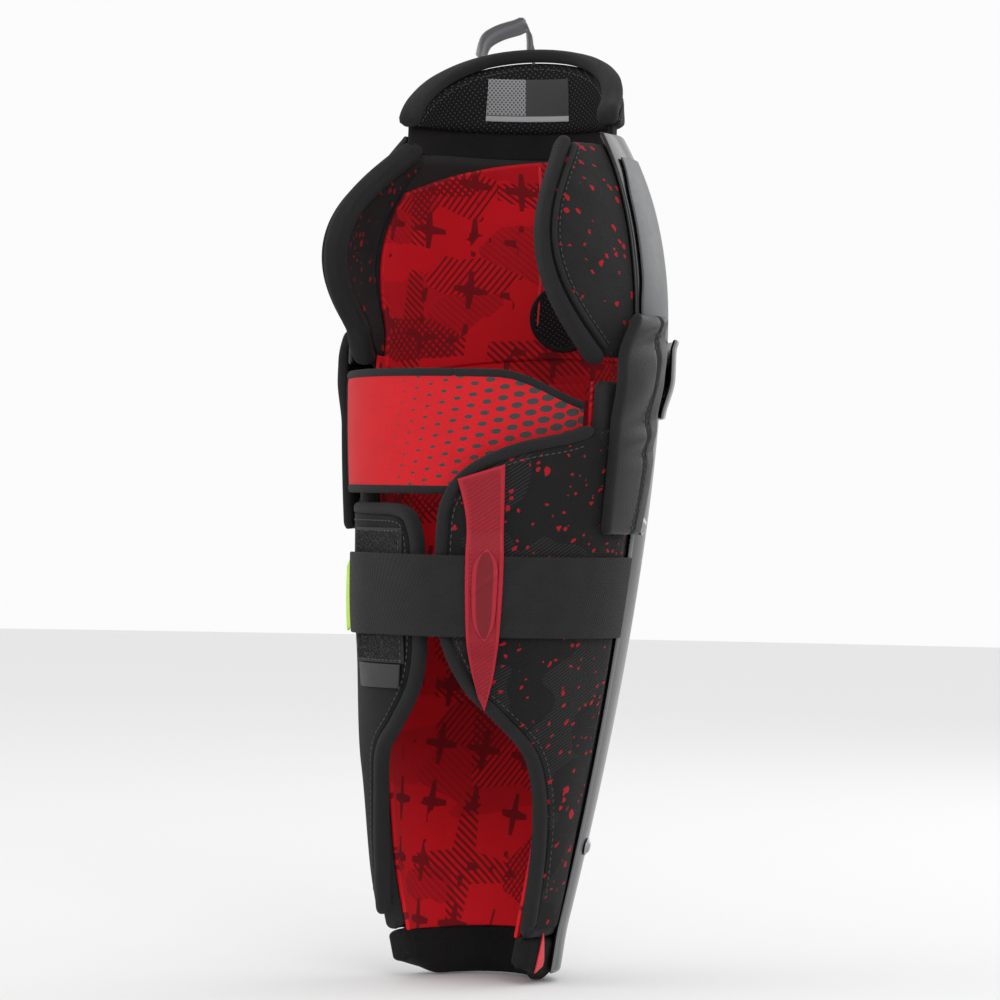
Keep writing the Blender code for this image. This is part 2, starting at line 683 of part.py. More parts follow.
def build_outer_wrap(wrap):
    wrap_panel("outer_wrap", wrap, outer_outline(), WRAP_START, 19, 0.0, 1.0)
    low = level(WRAP_START + 1.5, TAIL_START - 1.0, STRAP_BOTTOM)
    high = level(WRAP_START + 1.5, TAIL_START - 1.0, STRAP_BOTTOM + STRAP_WIDTH)
    panel("elastic_strap", WEBBING, wrap, shin_radius, low, high, 3, STRAP_LIFT, STRAP_THICKNESS)
    low = level(WRAP_START + 1.5, CALF_TAIL_START - 1.5, CALF_STRAP_BOTTOM)
    high = level(WRAP_START + 1.5, CALF_TAIL_START - 1.5, CALF_STRAP_BOTTOM + CALF_STRAP_WIDTH)
    panel("calf_strap", STRAP_RED, wrap, plain_shin_radius, low, high, 3, calf_strap_rise,
          CALF_STRAP_THICKNESS)
    build_keeper(wrap)


def calf_strap_rise(bearing, z):
    """The strap runs inside the outer wrap and lies over the inner side."""
    inside = -(WRAP_THICKNESS + LAYER_GAP + CALF_STRAP_DEPTH)
    return inside + CALF_STRAP_RISE * smooth((bearing - 175.0) / 50.0)


def keeper_rise(bearing, z):
    """The keeper bridges the elastic strap and lies on the wrap above and below it."""
    middle = STRAP_BOTTOM + STRAP_WIDTH / 2.0
    over = 1.0 - smooth((abs(z - middle) - STRAP_WIDTH / 2.0 - KEEPER_EDGE) / KEEPER_RAMP)
    low_lift = TOUCH_GAP + KEEPER_THICKNESS
    high_lift = STRAP_LIFT + LAYER_GAP + KEEPER_THICKNESS
    return low_lift + (high_lift - low_lift) * over


def build_keeper(wrap):
    left = drawn(((164.5, 0.262), (161.5, 0.240), (161.0, 0.204), (158.5, 0.167), (155.0, 0.150)))
    right = drawn(((149.0, 0.268), (148.5, 0.240), (148.0, 0.204), (149.0, 0.167), (151.5, 0.146)))
    left = curve_through(left, 12)
    right = curve_through(right, 12)
    panel("strap_keeper", KEEPER_RED, wrap, shin_radius, left, right, 3, keeper_rise, KEEPER_THICKNESS)
    left = drawn(((157.0, 0.221), (159.0, 0.210), (158.0, 0.194), (156.0, 0.183)))
    right = drawn(((150.5, 0.222), (150.0, 0.210), (150.5, 0.194), (152.0, 0.182)))

    def badge_rise(bearing, z):
        return keeper_rise(bearing, z) + LAYER_GAP + BADGE_THICKNESS
    panel("keeper_badge", KEEPER_RED, wrap, shin_radius, left, right, 3, badge_rise, BADGE_THICKNESS)


def build_strap_tail(tail):
    low = level(TAIL_START, TAIL_END, STRAP_BOTTOM, FINE_STEP)
    high = level(TAIL_START, TAIL_END, STRAP_BOTTOM + STRAP_WIDTH, FINE_STEP)
    panel("strap_tail", WEBBING, tail, shin_radius, low, high, 3, STRAP_LIFT, STRAP_THICKNESS)
    start = TAIL_END + 0.4
    low = level(start, start + 7.0, STRAP_BOTTOM + TAB_INSET, FINE_STEP)
    high = level(start, start + 4.0, STRAP_BOTTOM + STRAP_WIDTH - TAB_TOP_INSET, FINE_STEP)
    panel("pull_tab", LIME, tail, shin_radius, low, high, 3, STRAP_LIFT, STRAP_THICKNESS)
    low = level(204.0, TAIL_END - 1.0, STRAP_BOTTOM + HOOK_INSET, FINE_STEP)
    high = level(204.0, TAIL_END - 1.0, STRAP_BOTTOM + STRAP_WIDTH - HOOK_INSET, FINE_STEP)
    panel("hook_patch", WEBBING, tail, shin_radius, low, high, 3,
          STRAP_LIFT - STRAP_THICKNESS - TOUCH_GAP, HOOK_THICKNESS)


def build_calf_tail(tail):
    low = level(CALF_TAIL_START, CALF_TAIL_END, CALF_STRAP_BOTTOM)
    high = level(CALF_TAIL_START, CALF_TAIL_END, CALF_STRAP_BOTTOM + CALF_STRAP_WIDTH)
    panel("calf_strap_tail", STRAP_RED, tail, plain_shin_radius, low, high, 3, calf_strap_rise,
          CALF_STRAP_THICKNESS)


def build_inner_wrap(wrap):
    wrap_panel("inner_wrap", wrap, inner_outline(), 360.0 - WRAP_START, 19, -INNER_WRAP_DEPTH, -1.0)
    face = LOOP_PATCH_THICKNESS - INNER_WRAP_DEPTH + TOUCH_GAP
    low = level(190.0, 228.0, PATCH_BOTTOM, FINE_STEP)
    high = level(190.0, 228.0, PATCH_TOP, FINE_STEP)
    panel("loop_patch", KNIT_BLACK, wrap, shin_radius, low, high, 5, face, LOOP_PATCH_THICKNESS)
    low = level(193.0, 224.0, PATCH_BOTTOM - PATCH_TAB_HEIGHT, FINE_STEP)
    high = level(193.0, 224.0, PATCH_BOTTOM - LAYER_GAP, FINE_STEP)
    panel("loop_patch_tab", LEATHERETTE, wrap, shin_radius, low, high, 2, face, LOOP_PATCH_THICKNESS)


def hinge_point(bearing, foot):
    """Lower end of a wrap's sewn line."""
    return layer_point(shin_radius, bearing, drawn_height(foot), HINGE_HEIGHT)


def main():
    knee = joint_empty("knee_joint", Vector((0.0, KNEE_HINGE_Y, KNEE_HINGE_Z)))
    front = surface_point(thigh_radius, 0.0, THIGH_BOTTOM)
    thigh = joint_empty("thigh_joint", Vector((0.0, front.y, THIGH_BOTTOM - 0.002)))
    outer = joint_empty("outer_wrap_joint", hinge_point(WRAP_START - 1.5, OUTER_FOOT))
    tail_root = layer_point(shin_radius, TAIL_START - 0.4, STRAP_BOTTOM, STRAP_LIFT + 0.001)
    tail = joint_empty("strap_joint", tail_root)
    calf_top = 0.001 - WRAP_THICKNESS - CALF_STRAP_THICKNESS
    calf_root = layer_point(plain_shin_radius, CALF_TAIL_START - 0.6, CALF_STRAP_BOTTOM, calf_top)
    calf = joint_empty("calf_strap_joint", calf_root)
    inner = joint_empty("inner_wrap_joint", hinge_point(360.0 - WRAP_START + 1.5, INNER_FOOT))
    thigh.parent = knee
    thigh.matrix_parent_inverse = Matrix.Translation(-knee.location)
    tail.parent = outer
    tail.matrix_parent_inverse = Matrix.Translation(-outer.location)
    calf.parent = outer
    calf.matrix_parent_inverse = Matrix.Translation(-outer.location)
    build_shell()
    build_rivets()
    build_shin_padding()
    build_hem_flash()
    build_side_pieces()
    build_knee(knee)
    build_thigh(thigh)
    build_outer_wrap(outer)
    build_strap_tail(tail)
    build_calf_tail(calf)
    build_inner_wrap(inner)


main()
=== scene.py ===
"""Looks of the right-leg ice hockey shin guard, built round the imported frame.

Bearings are degrees around the leg: 0 at the front, 90 on the outer side, 180 at the back and
270 on the inner side. Heights are metres above the ankle end.
"""
import json
import math

import bpy
import numpy as np
from mathutils import Matrix, Vector


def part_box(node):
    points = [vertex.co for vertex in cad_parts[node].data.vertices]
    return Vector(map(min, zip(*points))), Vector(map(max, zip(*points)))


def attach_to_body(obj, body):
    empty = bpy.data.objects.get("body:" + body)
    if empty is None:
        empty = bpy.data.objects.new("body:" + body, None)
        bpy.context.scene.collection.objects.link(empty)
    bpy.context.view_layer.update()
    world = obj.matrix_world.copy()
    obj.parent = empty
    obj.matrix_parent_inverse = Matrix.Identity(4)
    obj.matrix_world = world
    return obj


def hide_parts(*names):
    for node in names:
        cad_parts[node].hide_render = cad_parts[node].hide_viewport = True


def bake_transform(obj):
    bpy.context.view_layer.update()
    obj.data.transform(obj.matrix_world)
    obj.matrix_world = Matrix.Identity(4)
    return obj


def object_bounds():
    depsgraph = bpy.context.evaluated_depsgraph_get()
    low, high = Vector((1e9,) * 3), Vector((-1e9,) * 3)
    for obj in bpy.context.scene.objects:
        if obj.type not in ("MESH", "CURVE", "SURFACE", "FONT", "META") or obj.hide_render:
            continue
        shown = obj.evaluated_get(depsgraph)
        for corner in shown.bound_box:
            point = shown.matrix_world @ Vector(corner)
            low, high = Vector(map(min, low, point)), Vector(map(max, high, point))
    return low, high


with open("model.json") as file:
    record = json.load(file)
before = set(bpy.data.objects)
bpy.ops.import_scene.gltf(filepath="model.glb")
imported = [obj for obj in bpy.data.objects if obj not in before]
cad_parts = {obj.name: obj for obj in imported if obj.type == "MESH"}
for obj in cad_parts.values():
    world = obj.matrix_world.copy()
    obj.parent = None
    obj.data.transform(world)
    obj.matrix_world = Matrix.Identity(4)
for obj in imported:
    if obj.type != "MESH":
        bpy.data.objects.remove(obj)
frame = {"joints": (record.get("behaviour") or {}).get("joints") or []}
CAD_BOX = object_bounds()
JOINTS = {joint["name"]: joint for joint in frame["joints"]}

# Driving sizes of the guard, the same as its solids
SHIN_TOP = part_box("shin_shell")[1][2]
KNEE_TOP = 0.446
THIGH_TOP = 0.4895
THIGH_BOTTOM = 0.4505
ANKLE_RADIUS = 0.041
CALF_RADIUS = 0.085
KNEE_RADIUS = 0.086
DOME_START = 0.340
DOME_HEIGHT = 0.146
FRONT_BULGE = 0.008
THIGH_RADIUS = 0.060
THIGH_BULGE = 0.006
WING_FLARE = 0.016
SHELL = 0.003
FOAM = 0.010
LINER = 0.0022
GAP = 0.0005
WRAP = 0.007
STRAP_LIFT = 0.0032
STRAP_BOTTOM = 0.181
STRAP_WIDTH = 0.042
CALF_BOTTOM = 0.256
CALF_WIDTH = 0.060
WRAP_START = 113.5
TAIL_END = 227.0
CALF_TAIL_END = 245.0
HINGE_Y = -0.040
FLEX_FORWARD = 8.0
FLEX_BACK = 5.0
DRAWN_SHIN = 0.314
KNEE_BOTTOM = 0.319
LIP_BOTTOM = 0.296
LIP_TOP = 0.338
LIP_STAND = 0.0075
VENT_HEIGHT = 0.3515
VENT_RADIUS = 0.0185
WRAP_FOOT = 0.028
INNER_WRAP_SINK = -0.0016
PATCH_SIDES = (190.0, 228.0)
PATCH_HEIGHTS = (0.166, 0.236)
PILE_SIDES = (191.0, 227.0)
PILE_HEIGHTS = (0.1675, 0.2345)
PAD_SIDES = (-100.0, 78.0)
KEEPER_LIFT = 0.0029
STITCH_PITCH = 0.0034
RIVET_PLACES = ((76.0, 0.239), (-76.0, 0.239), (68.0, 0.070), (-68.0, 0.070))
SIDES = ((1, "lateral"), (-1, "medial"))
FOAM_TOP = -(SHELL + GAP)
LINER_TOP = FOAM_TOP - FOAM - GAP


# ---------------------------------------------------------------- surfaces

def smooth(value):
    t = np.clip(value, 0.0, 1.0)
    return t * t * (3.0 - 2.0 * t)


def through(value, stations):
    """Smoothly joined value through (position, value) stations."""
    result = np.full_like(value, stations[0][1])
    for (low, start), (high, end) in zip(stations, stations[1:]):
        result = result + (end - start) * smooth((value - low) / (high - low))
    return result


def cosine(bearing):
    return np.cos(np.radians(bearing))


def axis_y(z):
    return 0.008 - 0.050 * z


def front_bulge(bearing):
    return FRONT_BULGE * np.maximum(0.0, cosine(bearing)) ** 2


def plain_shin(bearing, z):
    t = np.clip(1.0 - z / DRAWN_SHIN, 0.0, 1.0)
    return ANKLE_RADIUS + (CALF_RADIUS - ANKLE_RADIUS) * (1.0 - t ** 1.6) + front_bulge(bearing)


def shin(bearing, z):
    b = bearing % 360.0
    inner_side = smooth((b - 174.0) / 36.0) * (1.0 - smooth((b - 250.0) / 50.0))
    fullness = through(z, ((0.0, 0.004), (0.05, 0.005), (0.11, 0.002), (0.18, -0.003), (0.25, -0.007),
                           (DRAWN_SHIN, 0.0)))
    return plain_shin(bearing, z) + inner_side * fullness


def knee(bearing, z):
    rise = np.clip((z - DOME_START) / DOME_HEIGHT, 0.0, 0.97)
    b = bearing % 360.0
    inner_side = smooth((300.0 - b) / 60.0) * smooth((b - 200.0) / 30.0)
    height = np.minimum(1.0, np.abs(z - 0.392) / 0.052)
    flare = WING_FLARE * cosine(90.0 * height) * inner_side
    return KNEE_RADIUS * np.sqrt(1.0 - rise ** 2) + front_bulge(bearing) + flare


def thigh(bearing, z):
    lean = 0.10 * np.maximum(0.0, z - THIGH_BOTTOM)
    return THIGH_RADIUS - lean + THIGH_BULGE * np.maximum(0.0, cosine(bearing)) ** 2


def on_surface(radius, bearing, z):
    r = radius(bearing, z)
    a = np.radians(bearing)
    return np.stack((-r * np.sin(a), axis_y(z) - r * np.cos(a), z), axis=-1)


def surface_normal(radius, bearing, z):
    around = on_surface(radius, bearing + 0.5, z) - on_surface(radius, bearing - 0.5, z)
    up = on_surface(radius, bearing, z + 0.001) - on_surface(radius, bearing, z - 0.001)
    normal = np.cross(up, around)
    return normal / np.linalg.norm(normal, axis=-1, keepdims=True)


def lay(radius, bearing, z, height):
    """Points at a height above a surface."""
    bearing = np.asarray(bearing, float)
    z = np.asarray(z, float)
    lift = np.asarray(height, float) + np.zeros_like(bearing)
    return on_surface(radius, bearing, z) + surface_normal(radius, bearing, z) * lift[..., None]


# ---------------------------------------------------------------- outlines

def level(start, end, z, count=60):
    """Row of (bearing, height) around the leg."""
    b = np.linspace(start, end, count)
    heights = z(b) if callable(z) else np.full(count, z)
    return np.stack((b, heights), axis=1)


def band(start, end, bottom, top, count=60):
    """Lower and upper edge of a band round the leg."""
    return level(start, end, bottom, count), level(start, end, top, count)


def curve_through(points, count):
    """Points spread evenly along a smooth curve through control points."""
    p = np.array([points[0], *points, points[-1]], float)
    dense = []
    t = np.linspace(0.0, 1.0, 24, endpoint=False)[:, None]
    for p0, p1, p2, p3 in zip(p, p[1:], p[2:], p[3:]):
        dense.append(0.5 * (2.0 * p1 + (p2 - p0) * t + (2.0 * p0 - 5.0 * p1 + 4.0 * p2 - p3) * t ** 2
                            + (3.0 * p1 - p0 - 3.0 * p2 + p3) * t ** 3))
    dense = np.concatenate([*dense, p[-1:]])
    return evenly(dense, count)


def evenly(path, count):
    scale = np.array((math.radians(1.0) * CALF_RADIUS, 1.0))
    steps = np.linalg.norm(np.diff(path * scale, axis=0), axis=1)
    lengths = np.concatenate(((0.0,), np.cumsum(steps)))
    at = np.linspace(0.0, lengths[-1], count)
    return np.stack([np.interp(at, lengths, path[:, k]) for k in (0, 1)], axis=1)


def offset_path(path, radius, distance):
    """Path moved sideways on the surface, to the left of its direction when distance is positive."""
    step = np.gradient(path, axis=0)
    scale = math.radians(1.0) * radius(path[:, 0], path[:, 1])
    along = np.stack((step[:, 0] * scale, step[:, 1]), axis=1)
    along /= np.linalg.norm(along, axis=1, keepdims=True)
    return np.stack((path[:, 0] - along[:, 1] * distance / scale, path[:, 1] + along[:, 0] * distance),
                    axis=1)


def knee_bottom(bearing):
    y = axis_y(KNEE_BOTTOM) - (KNEE_RADIUS + front_bulge(bearing)) * cosine(bearing)
    front = np.maximum(0.0, HINGE_Y - y) * math.tan(math.radians(FLEX_FORWARD))
    back = np.maximum(0.0, y - HINGE_Y) * math.tan(math.radians(FLEX_BACK))
    return KNEE_BOTTOM + front + back


def wing_rim(side, z):
    reach, drop, middle = (138.0, 24.0, 0.390) if side > 0 else (122.0, 30.0, 0.385)
    share = np.minimum(1.1, np.abs(z - middle) / 0.062)
    return (reach - drop * share ** 2) * side


def thigh_edge(drop):
    return lambda bearing: THIGH_TOP + drop - 0.034 * ((bearing + 12.0) / 88.0) ** 2


OUTER_OUTLINE = ((WRAP_START + 1.0, 0.286), (125.0, 0.281), (144.0, 0.275), (160.0, 0.264), (168.0, 0.250),
                 (170.0, 0.232), (170.0, 0.200), (167.5, 0.178), (158.5, 0.157), (145.0, 0.142),
                 (128.0, 0.123), (119.5, 0.103), (WRAP_START + 1.0, 0.080), (112.0, 0.055), (110.5, 0.0275))
INNER_OUTLINE = ((245.5, 0.243), (215.0, 0.243), (194.0, 0.242), (188.0, 0.235),
                 (186.0, 0.219), (185.5, 0.182), (189.0, 0.157), (200.0, 0.137), (213.0, 0.119),
                 (221.0, 0.081), (225.0, 0.058), (234.0, 0.043), (245.5, 0.035))


# ---------------------------------------------------------------- meshes

def grid_faces(n, m):
    """Four-sided faces of an n by m grid of points."""
    number = np.arange(n * m).reshape(n, m)
    corners = (number[:-1, :-1], number[1:, :-1], number[1:, 1:], number[:-1, 1:])
    return np.stack(corners, axis=-1).reshape(-1, 4)


def sheet_faces(n, m):
    """Faces of two n by m grids, one behind the other, joined round their rim."""
    quads = grid_faces(n, m)
    number = np.arange(n * m).reshape(n, m)
    rim = np.concatenate((number[:-1, 0], number[-1, :-1], number[:0:-1, -1], number[0, :0:-1]))
    after = np.roll(rim, -1)
    sides = np.stack((after, rim, rim + n * m, after + n * m), axis=1)
    return np.concatenate((quads, quads[:, ::-1] + n * m, sides))


def tube_faces(rings, sides):
    """Faces between one ring of points and the next, with a cap at each end."""
    k = np.arange(rings - 1)[:, None] * sides
    j = np.arange(sides)[None, :]
    following = (j + 1) % sides
    ring = np.stack((k + j, k + following, k + following + sides, k + j + sides), axis=-1)
    return [*ring.reshape(-1, 4).tolist(), list(range(sides))[::-1],
            [(rings - 1) * sides + i for i in range(sides)]]


def new_object(name, data):
    obj = bpy.data.objects.new(name, data)
    bpy.context.scene.collection.objects.link(obj)
    return obj


def finish_mesh(name, verts, faces, uvs, edge, mat, body, nodes=(), slot=None, padded=None):
    """Closed mesh with a UV map in metres and its distance from the edge, put on its body."""
    mesh = bpy.data.meshes.new(name)
    mesh.from_pydata([tuple(v) for v in verts], [], [tuple(int(i) for i in f) for f in faces])
    layer = mesh.uv_layers.new(name="Surface")
    loops = np.empty(len(mesh.loops), dtype=np.int32)
    mesh.loops.foreach_get("vertex_index", loops)
    layer.data.foreach_set("uv", np.asarray(uvs, dtype=np.float32)[loops].ravel())
    near = mesh.attributes.new("edge", "FLOAT", "POINT")
    near.data.foreach_set("value", np.asarray(edge, dtype=np.float32))
    mesh.shade_smooth()
    mesh.materials.append(mat)
    obj = new_object(name, mesh)
    attach(obj, body, nodes)
    return obj


def attach(obj, body, nodes=()):
    """Puts a piece on its body, or bakes its place when it crosses a joint, and hides the solids it stands
    for.
    """
    if isinstance(body, str):
        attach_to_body(obj, body)
    elif body is not None:
        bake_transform(obj)
    if nodes:
        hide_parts(*nodes)


def positions(length, rounding, count):
    """Places from 0 to 1 across a strip, closer together where its edges round over."""
    r = min(0.45, rounding / length)
    turn = r * (1.0 - np.cos(np.linspace(0.0, math.pi / 2.0, 6)))
    middle = np.linspace(r, 1.0 - r, max(2, count))[1:-1]
    return np.concatenate((turn, middle, 1.0 - turn[::-1]))


def solid(name, mat, body, radius, low, high, top, thickness, along=60, across=20, rounding=0.003,
          crown=0.0, **facts):
    """Closed sheet between two outlines, with rounded edges. top is a height or f(bearing, z, s, t)."""
    low = np.asarray(low, float)
    high = np.asarray(high, float)
    middle = on_surface(radius, (low[:, 0] + high[:, 0]) / 2.0, (low[:, 1] + high[:, 1]) / 2.0)
    length = np.linalg.norm(np.diff(middle, axis=0), axis=1).sum()
    width = np.linalg.norm(on_surface(radius, low[:, 0], low[:, 1])
                           - on_surface(radius, high[:, 0], high[:, 1]), axis=1).mean()
    s = positions(length, rounding, along)
    t = positions(width, rounding, across)
    index = np.linspace(0.0, 1.0, len(low))
    low = np.stack([np.interp(s, index, low[:, k]) for k in (0, 1)], axis=1)
    high = np.stack([np.interp(s, index, high[:, k]) for k in (0, 1)], axis=1)
    grid = low[:, None, :] + (high - low)[:, None, :] * t[None, :, None]
    b, z = grid[..., 0], grid[..., 1]
    s2 = s[:, None] + np.zeros_like(b)
    t2 = t[None, :] + np.zeros_like(b)
    near_s = np.minimum(s2, 1.0 - s2) * length
    near_t = np.minimum(t2, 1.0 - t2) * width
    x = np.maximum(0.0, rounding - near_s) / rounding
    y = np.maximum(0.0, rounding - near_t) / rounding
    drop = (1.0 - np.sqrt(np.maximum(0.0, 1.0 - np.minimum(1.0, x * x + y * y)))) * 0.92 * thickness / 2.0
    bulge = crown * (1.0 - (2.0 * s2 - 1.0) ** 4) * (1.0 - (2.0 * t2 - 1.0) ** 4)
    base = top(b, z, s2, t2) if callable(top) else top
    outer = lay(radius, b, z, base + bulge - drop)
    inner = lay(radius, b, z, base - thickness + drop)
    n, m = b.shape
    faces = sheet_faces(n, m)
    verts = np.concatenate((outer.reshape(-1, 3), inner.reshape(-1, 3)))
    a, c, d = verts[faces[(n - 1) * (m - 1) // 2][:3]]
    outwards = a - np.array((0.0, axis_y(a[2]), a[2]))
    if np.dot(np.cross(c - a, d - a), outwards) < 0.0:
        faces = faces[:, ::-1]
    uv = np.stack((np.radians(b) * radius(b, z), z), axis=-1).reshape(-1, 2)
    edge = np.minimum(near_s, near_t).ravel()
    return finish_mesh(name, verts, faces, np.concatenate((uv, uv)), np.concatenate((edge, edge + 1.0)),
                       mat, body, **facts)


def piping(name, mat, body, radius, path, height, half_width, half_height, sides=12, **facts):
    """Closed tube with an oval section that follows an outline on a surface."""
    path = np.asarray(path, float)
    points = lay(radius, path[:, 0], path[:, 1], height)
    up = surface_normal(radius, path[:, 0], path[:, 1])
    tangent = np.gradient(points, axis=0)
    tangent /= np.linalg.norm(tangent, axis=1, keepdims=True)
    across = np.cross(tangent, up)
    across /= np.linalg.norm(across, axis=1, keepdims=True)
    ends = np.ones(len(path))
    ends[[0, -1]] = 0.55
    ends[[1, -2]] = 0.9
    angle = np.linspace(0.0, 2.0 * math.pi, sides, endpoint=False)
    wide = np.sign(np.cos(angle)) * np.abs(np.cos(angle)) ** 0.75 * half_width
    tall = np.sign(np.sin(angle)) * np.abs(np.sin(angle)) ** 0.75 * half_height
    ends = ends[:, None, None]
    sideways = across[:, None, :] * (wide[None, :, None] * ends)
    ring = points[:, None, :] + sideways + up[:, None, :] * (tall[None, :, None] * ends)
    n = len(path)
    verts = ring.reshape(-1, 3)
    faces = tube_faces(n, sides)
    length = np.concatenate(((0.0,), np.cumsum(np.linalg.norm(np.diff(points, axis=0), axis=1))))
    uv = np.stack(np.broadcast_arrays(length[:, None], (angle * half_height)[None, :]),
                  axis=-1).reshape(-1, 2)
    middle = faces[len(faces) // 2]
    a, c, d = (verts[i] for i in middle[:3])
    centre = points[min(n - 1, middle[0] // sides)]
    if np.dot(np.cross(c - a, d - a), a - centre) < 0.0:
        faces = [f[::-1] for f in faces]
    return finish_mesh(name, verts, faces, uv, np.full(len(verts), 1.0), mat, body, **facts)


STITCH_LINES = {}


def stitch_line(body, radius, path, height):
    """Remembers a line of stitching, made later by one tree for each body."""
    STITCH_LINES.setdefault(body, []).append(lay(radius, path[:, 0], path[:, 1], height))


# ---------------------------------------------------------------- materials

def feed(socket, value):
    """Links a socket to another one, or sets its own value."""
    if isinstance(value, bpy.types.NodeSocket):
        socket.id_data.links.new(value, socket)
    else:
        socket.default_value = value


def node(tree, kind, inputs=None, **settings):
    item = tree.nodes.new(kind)
    for key, value in settings.items():
        setattr(item, key, value)
    for key, value in (inputs or {}).items():
        feed(item.inputs[key], value)
    return item


def maths(operation):
    """Function that adds a maths node to the tree that its values are in."""
    def result(*values):
        tree = next(value.id_data for value in values if isinstance(value, bpy.types.NodeSocket))
        return node(tree, "ShaderNodeMath", dict(enumerate(values)), operation=operation).outputs[0]
    return result


add, subtract, multiply, divide = (maths(word) for word in ("ADD", "SUBTRACT", "MULTIPLY", "DIVIDE"))
below, above, larger, smaller = (maths(word) for word in ("LESS_THAN", "GREATER_THAN", "MAXIMUM", "MINIMUM"))
sine_of, cosine_of, fraction, floor_of = (maths(word) for word in ("SINE", "COSINE", "FRACT", "FLOOR"))
size_of, root, to_power, soft_smaller = (maths(word) for word in ("ABSOLUTE", "SQRT", "POWER", "SMOOTH_MIN"))


def mix(mask, first, second):
    """Mixes two colours, each a colour socket or a (red, green, blue) tuple."""
    item = node(mask.id_data, "ShaderNodeMix", {0: mask}, data_type="RGBA")
    for key, colour in ((6, first), (7, second)):
        feed(item.inputs[key], (*colour, 1.0) if isinstance(colour, tuple) else colour)
    return item.outputs[2]


def split(place):
    """Separate numbers of a place."""
    return node(place.id_data, "ShaderNodeSeparateXYZ", {0: place}).outputs


def lattice(place, turn, width, height):
    """Place counted in cells of a turned lattice."""
    return node(place.id_data, "ShaderNodeMapping", {"Vector": place, "Rotation": (0.0, 0.0, turn),
                                                     "Scale": (1.0 / width, 1.0 / height, 1.0)}).outputs[0]


def from_middle(share):
    """How far a place is from the middle of its cell."""
    return subtract(fraction(share), 0.5)


def noise(place, scale, **inputs):
    return node(place.id_data, "ShaderNodeTexNoise", {"Vector": place, "Scale": scale, **inputs}).outputs


def voronoi(place, scale, **settings):
    """Flat cells scattered over a place."""
    return node(place.id_data, "ShaderNodeTexVoronoi", {"Vector": place, "Scale": scale},
                voronoi_dimensions="2D", **settings)


def group(name, inputs, outputs):
    """Empty shader group with its sockets, and its input and output nodes."""
    tree = bpy.data.node_groups.new(name, "ShaderNodeTree")
    for label, kind, value in inputs:
        socket = tree.interface.new_socket(label, in_out="INPUT", socket_type="NodeSocket" + kind)
        if value is not None:
            socket.default_value = value
    for label, kind in outputs:
        tree.interface.new_socket(label, in_out="OUTPUT", socket_type="NodeSocket" + kind)
    return tree, tree.nodes.new("NodeGroupInput").outputs, tree.nodes.new("NodeGroupOutput").inputs


def weave_group():
    """Crossed threads: a height, and a soft shade that is partly painted shade (thread tops lighter, hollows
    between threads darker) and partly a random tone.
    """
    tree, given, out = group("Woven threads", (("Place", "Vector", None), ("Pitch", "Float", 0.001)),
                             (("Height", "Float"), ("Shade", "Float")))
    parts = split(given["Place"])
    turn = divide(2.0 * math.pi, given["Pitch"])
    u = multiply(parts[0], turn)
    v = multiply(parts[1], turn)
    threads = multiply(sine_of(u), sine_of(v))
    loops = size_of(sine_of(add(u, multiply(v, 0.5))))
    height = add(multiply(threads, 0.5), multiply(loops, 0.5))
    feed(out["Height"], height)
    fine = noise(given["Place"], 60.0, Detail=3.0)
    # Painted shade: the thread height paints the tops lighter and the hollows between threads darker; the
    # noise adds a random tone.
    shade = add(multiply(height, 0.35), multiply(fine[0], 0.65))
    feed(out["Shade"], shade)
    return tree


def splatter_group():
    """Scattered flecks of uneven size."""
    tree, given, out = group("Splatter", (("Place", "Vector", None), ("Cell", "Float", 0.006),
                                          ("Amount", "Float", 0.3), ("Size", "Float", 0.25)),
                             (("Mask", "Float"),))
    wobble = noise(given["Place"], 260.0, Detail=3.0)
    moved = node(tree, "ShaderNodeVectorMath", {0: wobble[1], 1: (0.0045, 0.0045, 0.0045)},
                 operation="MULTIPLY")
    place = node(tree, "ShaderNodeVectorMath", {0: given["Place"], 1: moved.outputs[0]}, operation="ADD")
    count = divide(1.0, given["Cell"])
    cells = voronoi(place.outputs[0], count)
    chance = node(tree, "ShaderNodeSeparateColor", {0: cells.outputs["Color"]}).outputs
    reach = multiply(given["Size"], add(0.25, chance[1]))
    inside = below(cells.outputs["Distance"], reach)
    feed(out["Mask"], multiply(inside, below(chance[0], given["Amount"])))
    return tree


def stripe_group():
    """Slanting stripes."""
    tree, given, out = group("Stripes", (("Place", "Vector", None), ("Pitch", "Float", 0.002),
                                         ("Turn", "Float", 0.7), ("Width", "Float", 0.5)),
                             (("Mask", "Float"),))
    parts = split(given["Place"])
    across = add(multiply(parts[0], cosine_of(given["Turn"])), multiply(parts[1], sine_of(given["Turn"])))
    share = fraction(divide(across, given["Pitch"]))
    feed(out["Mask"], below(share, given["Width"]))
    return tree


WEAVE = weave_group()
SPLATTER = splatter_group()
STRIPES = stripe_group()


def use(which, place, **values):
    """Outputs of a shared group laid over a place."""
    item = node(place.id_data, "ShaderNodeGroup", node_tree=which)
    for key, value in {"Place": place, **values}.items():
        feed(item.inputs[key], value)
    return item.outputs


def material(name, roughness=0.6, metallic=0.0, **settings):
    """New material, its shader, and the surface map in metres."""
    mat = bpy.data.materials.new(name)
    mat.use_nodes = True
    tree = mat.node_tree
    shader = tree.nodes["Principled BSDF"]
    shader.inputs["Roughness"].default_value = roughness
    shader.inputs["Metallic"].default_value = metallic
    for key, value in settings.items():
        shader.inputs[key.replace("_", " ")].default_value = value
    place = node(tree, "ShaderNodeUVMap", uv_map="Surface").outputs[0]
    return mat, shader, place


def bump(shader, height, distance, strength=1.0):
    item = node(shader.id_data, "ShaderNodeBump", {"Height": height, "Distance": distance,
                                                   "Strength": strength})
    feed(shader.inputs["Normal"], item.outputs[0])


def edge_mask(tree, width):
    """1 within a width of a sheet's edge."""
    near = node(tree, "ShaderNodeAttribute", attribute_name="edge").outputs["Fac"]
    return below(near, width)


